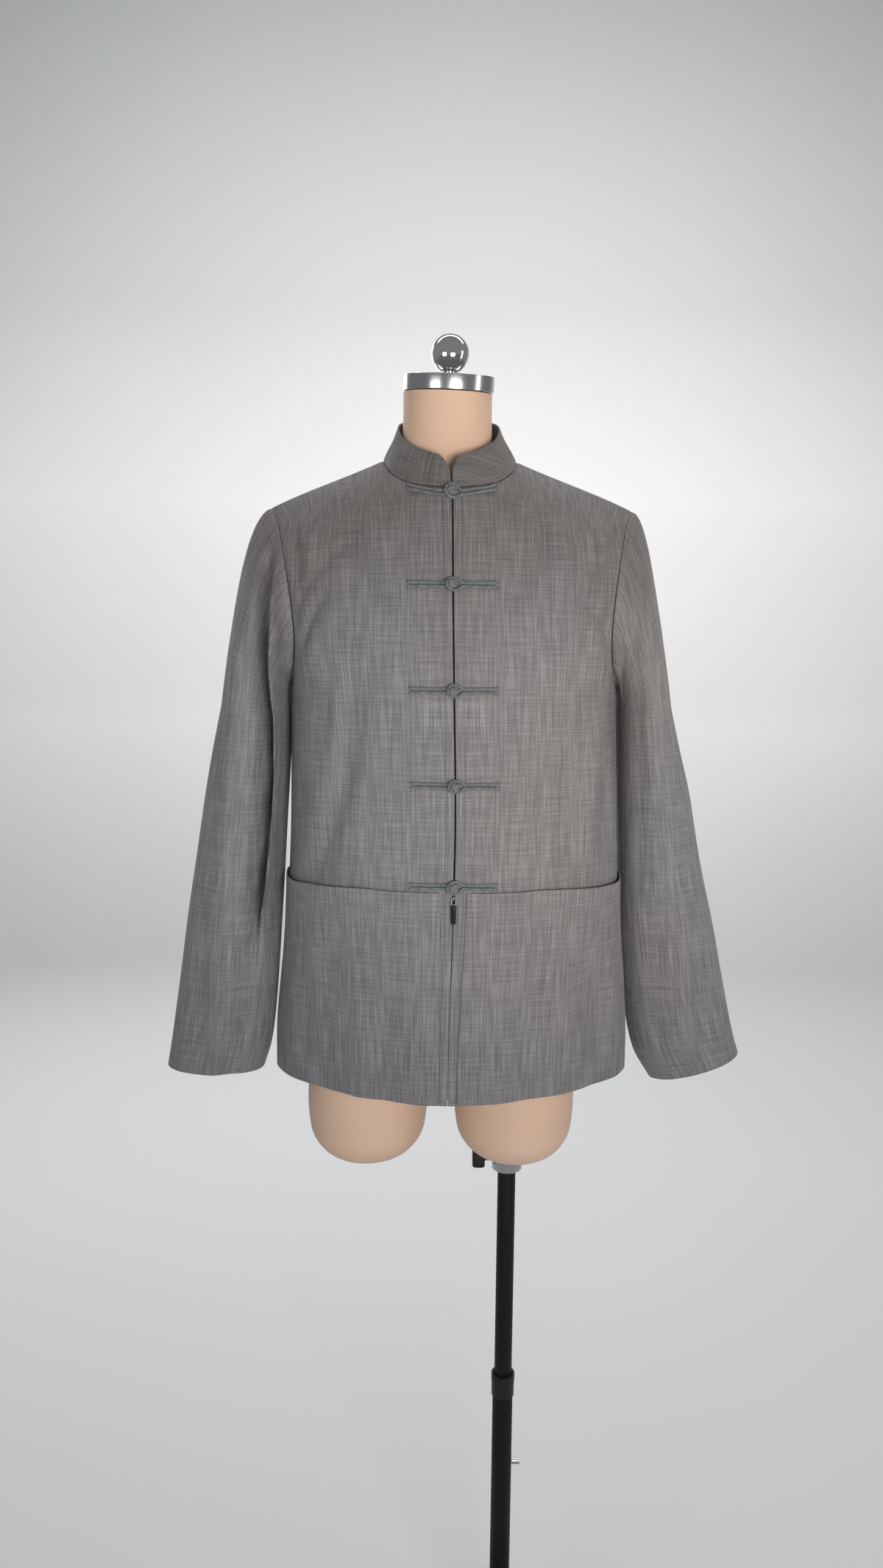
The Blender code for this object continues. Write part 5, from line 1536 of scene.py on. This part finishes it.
stand = {
    "socketTop": figureAt.z - formDrop - gap, "socketHeight": 0.0270, "socketRadius": 0.0200,
    "socketRoof": 0.003, "screwHole": 0.004,
    "mast": 0.0120, "wall": 0.0015, "mastRoof": 0.002, "mastBottom": 0.230,
    "lower": 0.0139, "lowerBore": 0.0124, "lowerTop": 0.4620,
    "guide": 0.0160, "guideStep": 0.0005, "guideLip": 0.011, "guideLow": 0.448, "guideTop": 0.480,
    "plate": 0.180, "plateThickness": 0.008, "hub": 0.036, "hubHeight": 0.034,
    "screwHeight": 0.345, "screwRadius": 0.0040, "screwLength": 0.0110, "screwSocket": 0.0018,
    "screwSocketDepth": 0.002,
    "knobDrop": 0.0147, "knobAzimuth": 180.0, "knobRadius": 0.0130, "knobLength": 0.0165, "knobLobes": 8,
    "boltRadius": 0.0030, "boltEnd": 0.030,
}
still = Matrix.Identity(4)
socketTop = stand["socketTop"]
socketLow = socketTop - stand["socketHeight"]
socketBore = stand["mast"] + gap
socketRoof = socketTop - stand["socketRoof"]
turnedPiece("socket_casting",
            rounded([(stand["screwHole"], socketTop), (stand["socketRadius"], socketTop),
                     (stand["socketRadius"], socketLow), (socketBore, socketLow), (socketBore, socketRoof),
                     (stand["screwHole"], socketRoof)], 0.0009),
            still, "figure", "casting", ["form_socket"])
mastTop = socketRoof - gap
mastBore = stand["mast"] - stand["wall"]
mastRoof = mastTop - stand["mastRoof"]
mastEnd = stand["mastBottom"]
turnedPiece("mast_painted",
            [(0, mastTop), *rounded([(stand["mast"], mastTop), (stand["mast"], mastEnd), (mastBore, mastEnd),
                                     (mastBore, mastRoof)], 0.0004, 2), (0, mastRoof)],
            still, "mast", "blackPaint", ["mast_tube"])
tubeLow = stand["plateThickness"] + gap
turnedPiece("lower_tube_painted",
            rounded([(stand["lowerBore"], stand["lowerTop"]), (stand["lower"], stand["lowerTop"]),
                     (stand["lower"], tubeLow), (stand["lowerBore"], tubeLow)], 0.0003, 2),
            still, "base", "blackPaint", ["lower_tube"])
guideBore = stand["lowerBore"] + 0.0001
guideIn = stand["guide"] - stand["guideStep"]
guideLip = stand["guideTop"] - stand["guideLip"]
onTube = stand["lower"] + gap
shelf = stand["lowerTop"] + gap
turnedPiece("guide_ring_moulded",
            rounded([(guideBore, stand["guideTop"]), (stand["guide"], stand["guideTop"]),
                     (stand["guide"], guideLip), (guideIn, guideLip - stand["guideStep"]),
                     (guideIn, stand["guideLow"]), (onTube, stand["guideLow"]), (onTube, shelf),
                     (guideBore, shelf)], 0.0008, 3),
            still, "base", "blackPlastic", ["guide_ring"])
plateTop = stand["plateThickness"]
turnedPiece("base_plate_painted",
            rounded([(0, plateTop), (stand["plate"] - 0.0005, plateTop), (stand["plate"], 0.0), (0, 0.0)],
                    0.0022),
            still, "base", "blackPaint", ["base_plate"], 160)
hubTop = tubeLow + stand["hubHeight"]
turnedPiece("base_hub_painted",
            rounded([(onTube, hubTop), (onTube + 0.0055, hubTop), (onTube + 0.0090, tubeLow + 0.010),
                     (stand["hub"] - 0.0015, tubeLow + 0.0055), (stand["hub"], tubeLow), (onTube, tubeLow)],
                    0.0030),
            still, "base", "blackPaint", ["base_hub"])


def threaded(radius, start, end, pitch, depth):
    # a bolt's outline with its thread as even grooves
    outline = [(0, end), (radius - depth, end)]
    count = int((end - start) / pitch)
    for step in range(count):
        high = end - pitch * step
        outline += [(radius, high - pitch * 0.35), (radius, high - pitch * 0.55),
                    (radius - depth, high - pitch * 0.95)]
    return outline + [(radius - depth, start), (0, start)]


awayTurn = math.radians(stand["knobAzimuth"])
away = Vector((math.cos(awayTurn), math.sin(awayTurn), 0))
onClamp = (Matrix.Translation((0, 0, socketTop - stand["knobDrop"]))
           @ away.to_track_quat("Z", "Y").to_matrix().to_4x4())
turnedPiece("clamp_bolt_threaded",
            threaded(stand["boltRadius"], stand["socketRadius"] + gap, stand["boltEnd"] - gap, 0.001, 0.0004),
            onClamp, "clamp", "casting", ["clamp_bolt"], 32)


def makeKnob():
    # a knob with soft lobes: levels of the same outline, pulled in at both ends
    length, radius = stand["knobLength"], stand["knobRadius"]
    levels = ((0.0, 0.80), (0.0006, 0.90), (0.0020, 0.965), (0.0045, 1.0), (length - 0.0035, 1.0),
              (length - 0.0014, 0.955), (length - 0.0004, 0.88), (length, 0.76))
    sides = 96
    shape = bmesh.new()
    rings = []
    for height, share in levels:
        ring = []
        for k in range(sides):
            turn = 2 * math.pi * k / sides
            lobe = 0.06 * (1 - math.cos(stand["knobLobes"] * turn))
            reach = radius * share * (1 - lobe)
            ring.append(shape.verts.new(onClamp @ Vector((reach * math.cos(turn), reach * math.sin(turn),
                                                          stand["boltEnd"] + height))))
        rings.append(ring)
    for lower, upper in zip(rings, rings[1:]):
        skin(shape, lower, upper)
    shape.faces.new(rings[0])
    shape.faces.new(rings[-1])
    bmesh.ops.recalc_face_normals(shape, faces=shape.faces)
    finishPiece(fromShape("clamp_knob_moulded", shape), "clamp", "blackPlastic",
                ["clamp_knob"])


makeKnob()
screwEnd, screwSocket = stand["screwLength"], stand["screwLength"] - stand["screwSocketDepth"]
onScrew = Matrix.Translation((onTube, 0, stand["screwHeight"])) @ Matrix.Rotation(math.pi / 2, 4, "Y")
# the head's edges are rounded, but not the foot that stands on the tube
turnedPiece("set_screw_steel",
            [(0, screwSocket), (stand["screwSocket"], screwSocket),
             *rounded([(stand["screwSocket"], screwEnd), (stand["screwRadius"], screwEnd),
                       (stand["screwRadius"], 0.0)], 0.0005, 2)[:-3], (stand["screwRadius"], 0.0), (0, 0.0)],
            onScrew, "base", "brushed", ["set_screw"], 40)
print("form and stand are up")


# ---- zip slider and pull
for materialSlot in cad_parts["zip_slider"].material_slots:
    materialSlot.material = finishes["zipMetal"]

pull = {"pin": 0.0006, "windowTop": 0.0006, "window": 0.0064, "width": 0.0066, "bar": 0.0012,
        "thick": 0.0013, "link": 0.0113, "linkEdge": 0.0002, "tabWidth": 0.0070, "tabTip": 0.0052,
        "tabThick": 0.0021, "tabForward": 0.0002, "tab": 0.0233, "overlap": 0.0030, "ribs": 6,
        "ribPitch": 0.0019, "ribFrom": 0.0024, "ribProud": 0.0005}


def pullOutline(shape, outline, thick, middleY, bevel):
    # a flat bar of an outline in x and z, with its edges turned
    made = []
    centreX = sum(x for x, _ in outline) / len(outline)
    centreZ = sum(z for _, z in outline) / len(outline)
    for share, y in ((0.86, -0.5), (1.0, -0.5 + bevel), (1.0, 0.5 - bevel), (0.86, 0.5)):
        inset = 1 - (1 - share) * 0.55
        made.append([shape.verts.new((centreX + (x - centreX) * share, middleY + y * thick,
                                      centreZ + (z - centreZ) * inset)) for x, z in outline])
    for low, high in zip(made, made[1:]):
        skin(shape, low, high)
    shape.faces.new(made[0])
    shape.faces.new(made[-1])


def roundedBox(halfWidth, top, bottom, tipHalf, radius, steps=5):
    corners = ((-halfWidth, top), (halfWidth, top), (tipHalf, bottom), (-tipHalf, bottom))
    outline = []
    for index, corner in enumerate(corners):
        here = Vector(corner)
        before = (Vector(corners[index - 1]) - here).normalized() * radius
        after = (Vector(corners[(index + 1) % 4]) - here).normalized() * radius
        for step in range(steps + 1):
            part = step / steps
            spot = here + before * (1 - part) ** 2 + after * part ** 2
            outline.append((spot.x, spot.y))
    return outline


def makePull():
    # a link round the slider's bail, with a ribbed tab moulded on it
    pinLow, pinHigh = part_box("zip_pull")
    axis = Vector(((pinLow[0] + pinHigh[0]) / 2, (pinLow[1] + pinHigh[1]) / 2, pinHigh[2] - pull["pin"]))
    top, half = pull["pin"], pull["width"] / 2
    foot = pull["pin"] - pull["link"]
    holeTop = -pull["windowTop"]
    holeFoot = holeTop - pull["window"]
    outer = roundedBox(half, top, foot, half, 0.0016)
    inner = roundedBox(half - pull["bar"], holeTop, holeFoot, half - pull["bar"], 0.0009)
    shape = bmesh.new()
    rings = []
    for y in (-pull["thick"] / 2, pull["thick"] / 2):
        for outline in (outer, inner):
            rings.append([shape.verts.new(axis + Vector((x, y, z))) for x, z in outline])
    for a, b in ((0, 1), (1, 3), (3, 2), (2, 0)):
        skin(shape, rings[a], rings[b])
    bmesh.ops.recalc_face_normals(shape, faces=shape.faces)
    link = finishPiece(fromShape("zip_pull_link", shape, 40), "zip_pull", "zipMetal",
                       ["zip_pull"])
    edge = link.modifiers.new("edge", "BEVEL")
    edge.width = pull["linkEdge"]
    edge.segments = 2
    applied(link)
    tabTop = foot + pull["overlap"]
    tabFoot = tabTop - pull["tab"]
    shape = bmesh.new()
    outline = [(x + axis.x, z + axis.z) for x, z in
               roundedBox(pull["tabWidth"] / 2, tabTop, tabFoot, pull["tabTip"] / 2, 0.0012)]
    middleY = axis.y - pull["tabForward"]
    pullOutline(shape, outline, pull["tabThick"], middleY, 0.16)
    for step in range(pull["ribs"]):
        low = axis.z + tabFoot + pull["ribFrom"] + step * pull["ribPitch"]
        reach = pull["tabTip"] * 0.36 + 0.0002 * step
        rib = [(x + axis.x, z + low) for x, z in roundedBox(reach, 0.0009, 0.0, reach, 0.0004, 3)]
        pullOutline(shape, rib, pull["tabThick"] + pull["ribProud"], middleY, 0.12)
    bmesh.ops.recalc_face_normals(shape, faces=shape.faces)
    finishPiece(fromShape("zip_pull_tab", shape, 40), "zip_pull", "blackPlastic")


makePull()


print("all pieces are made")
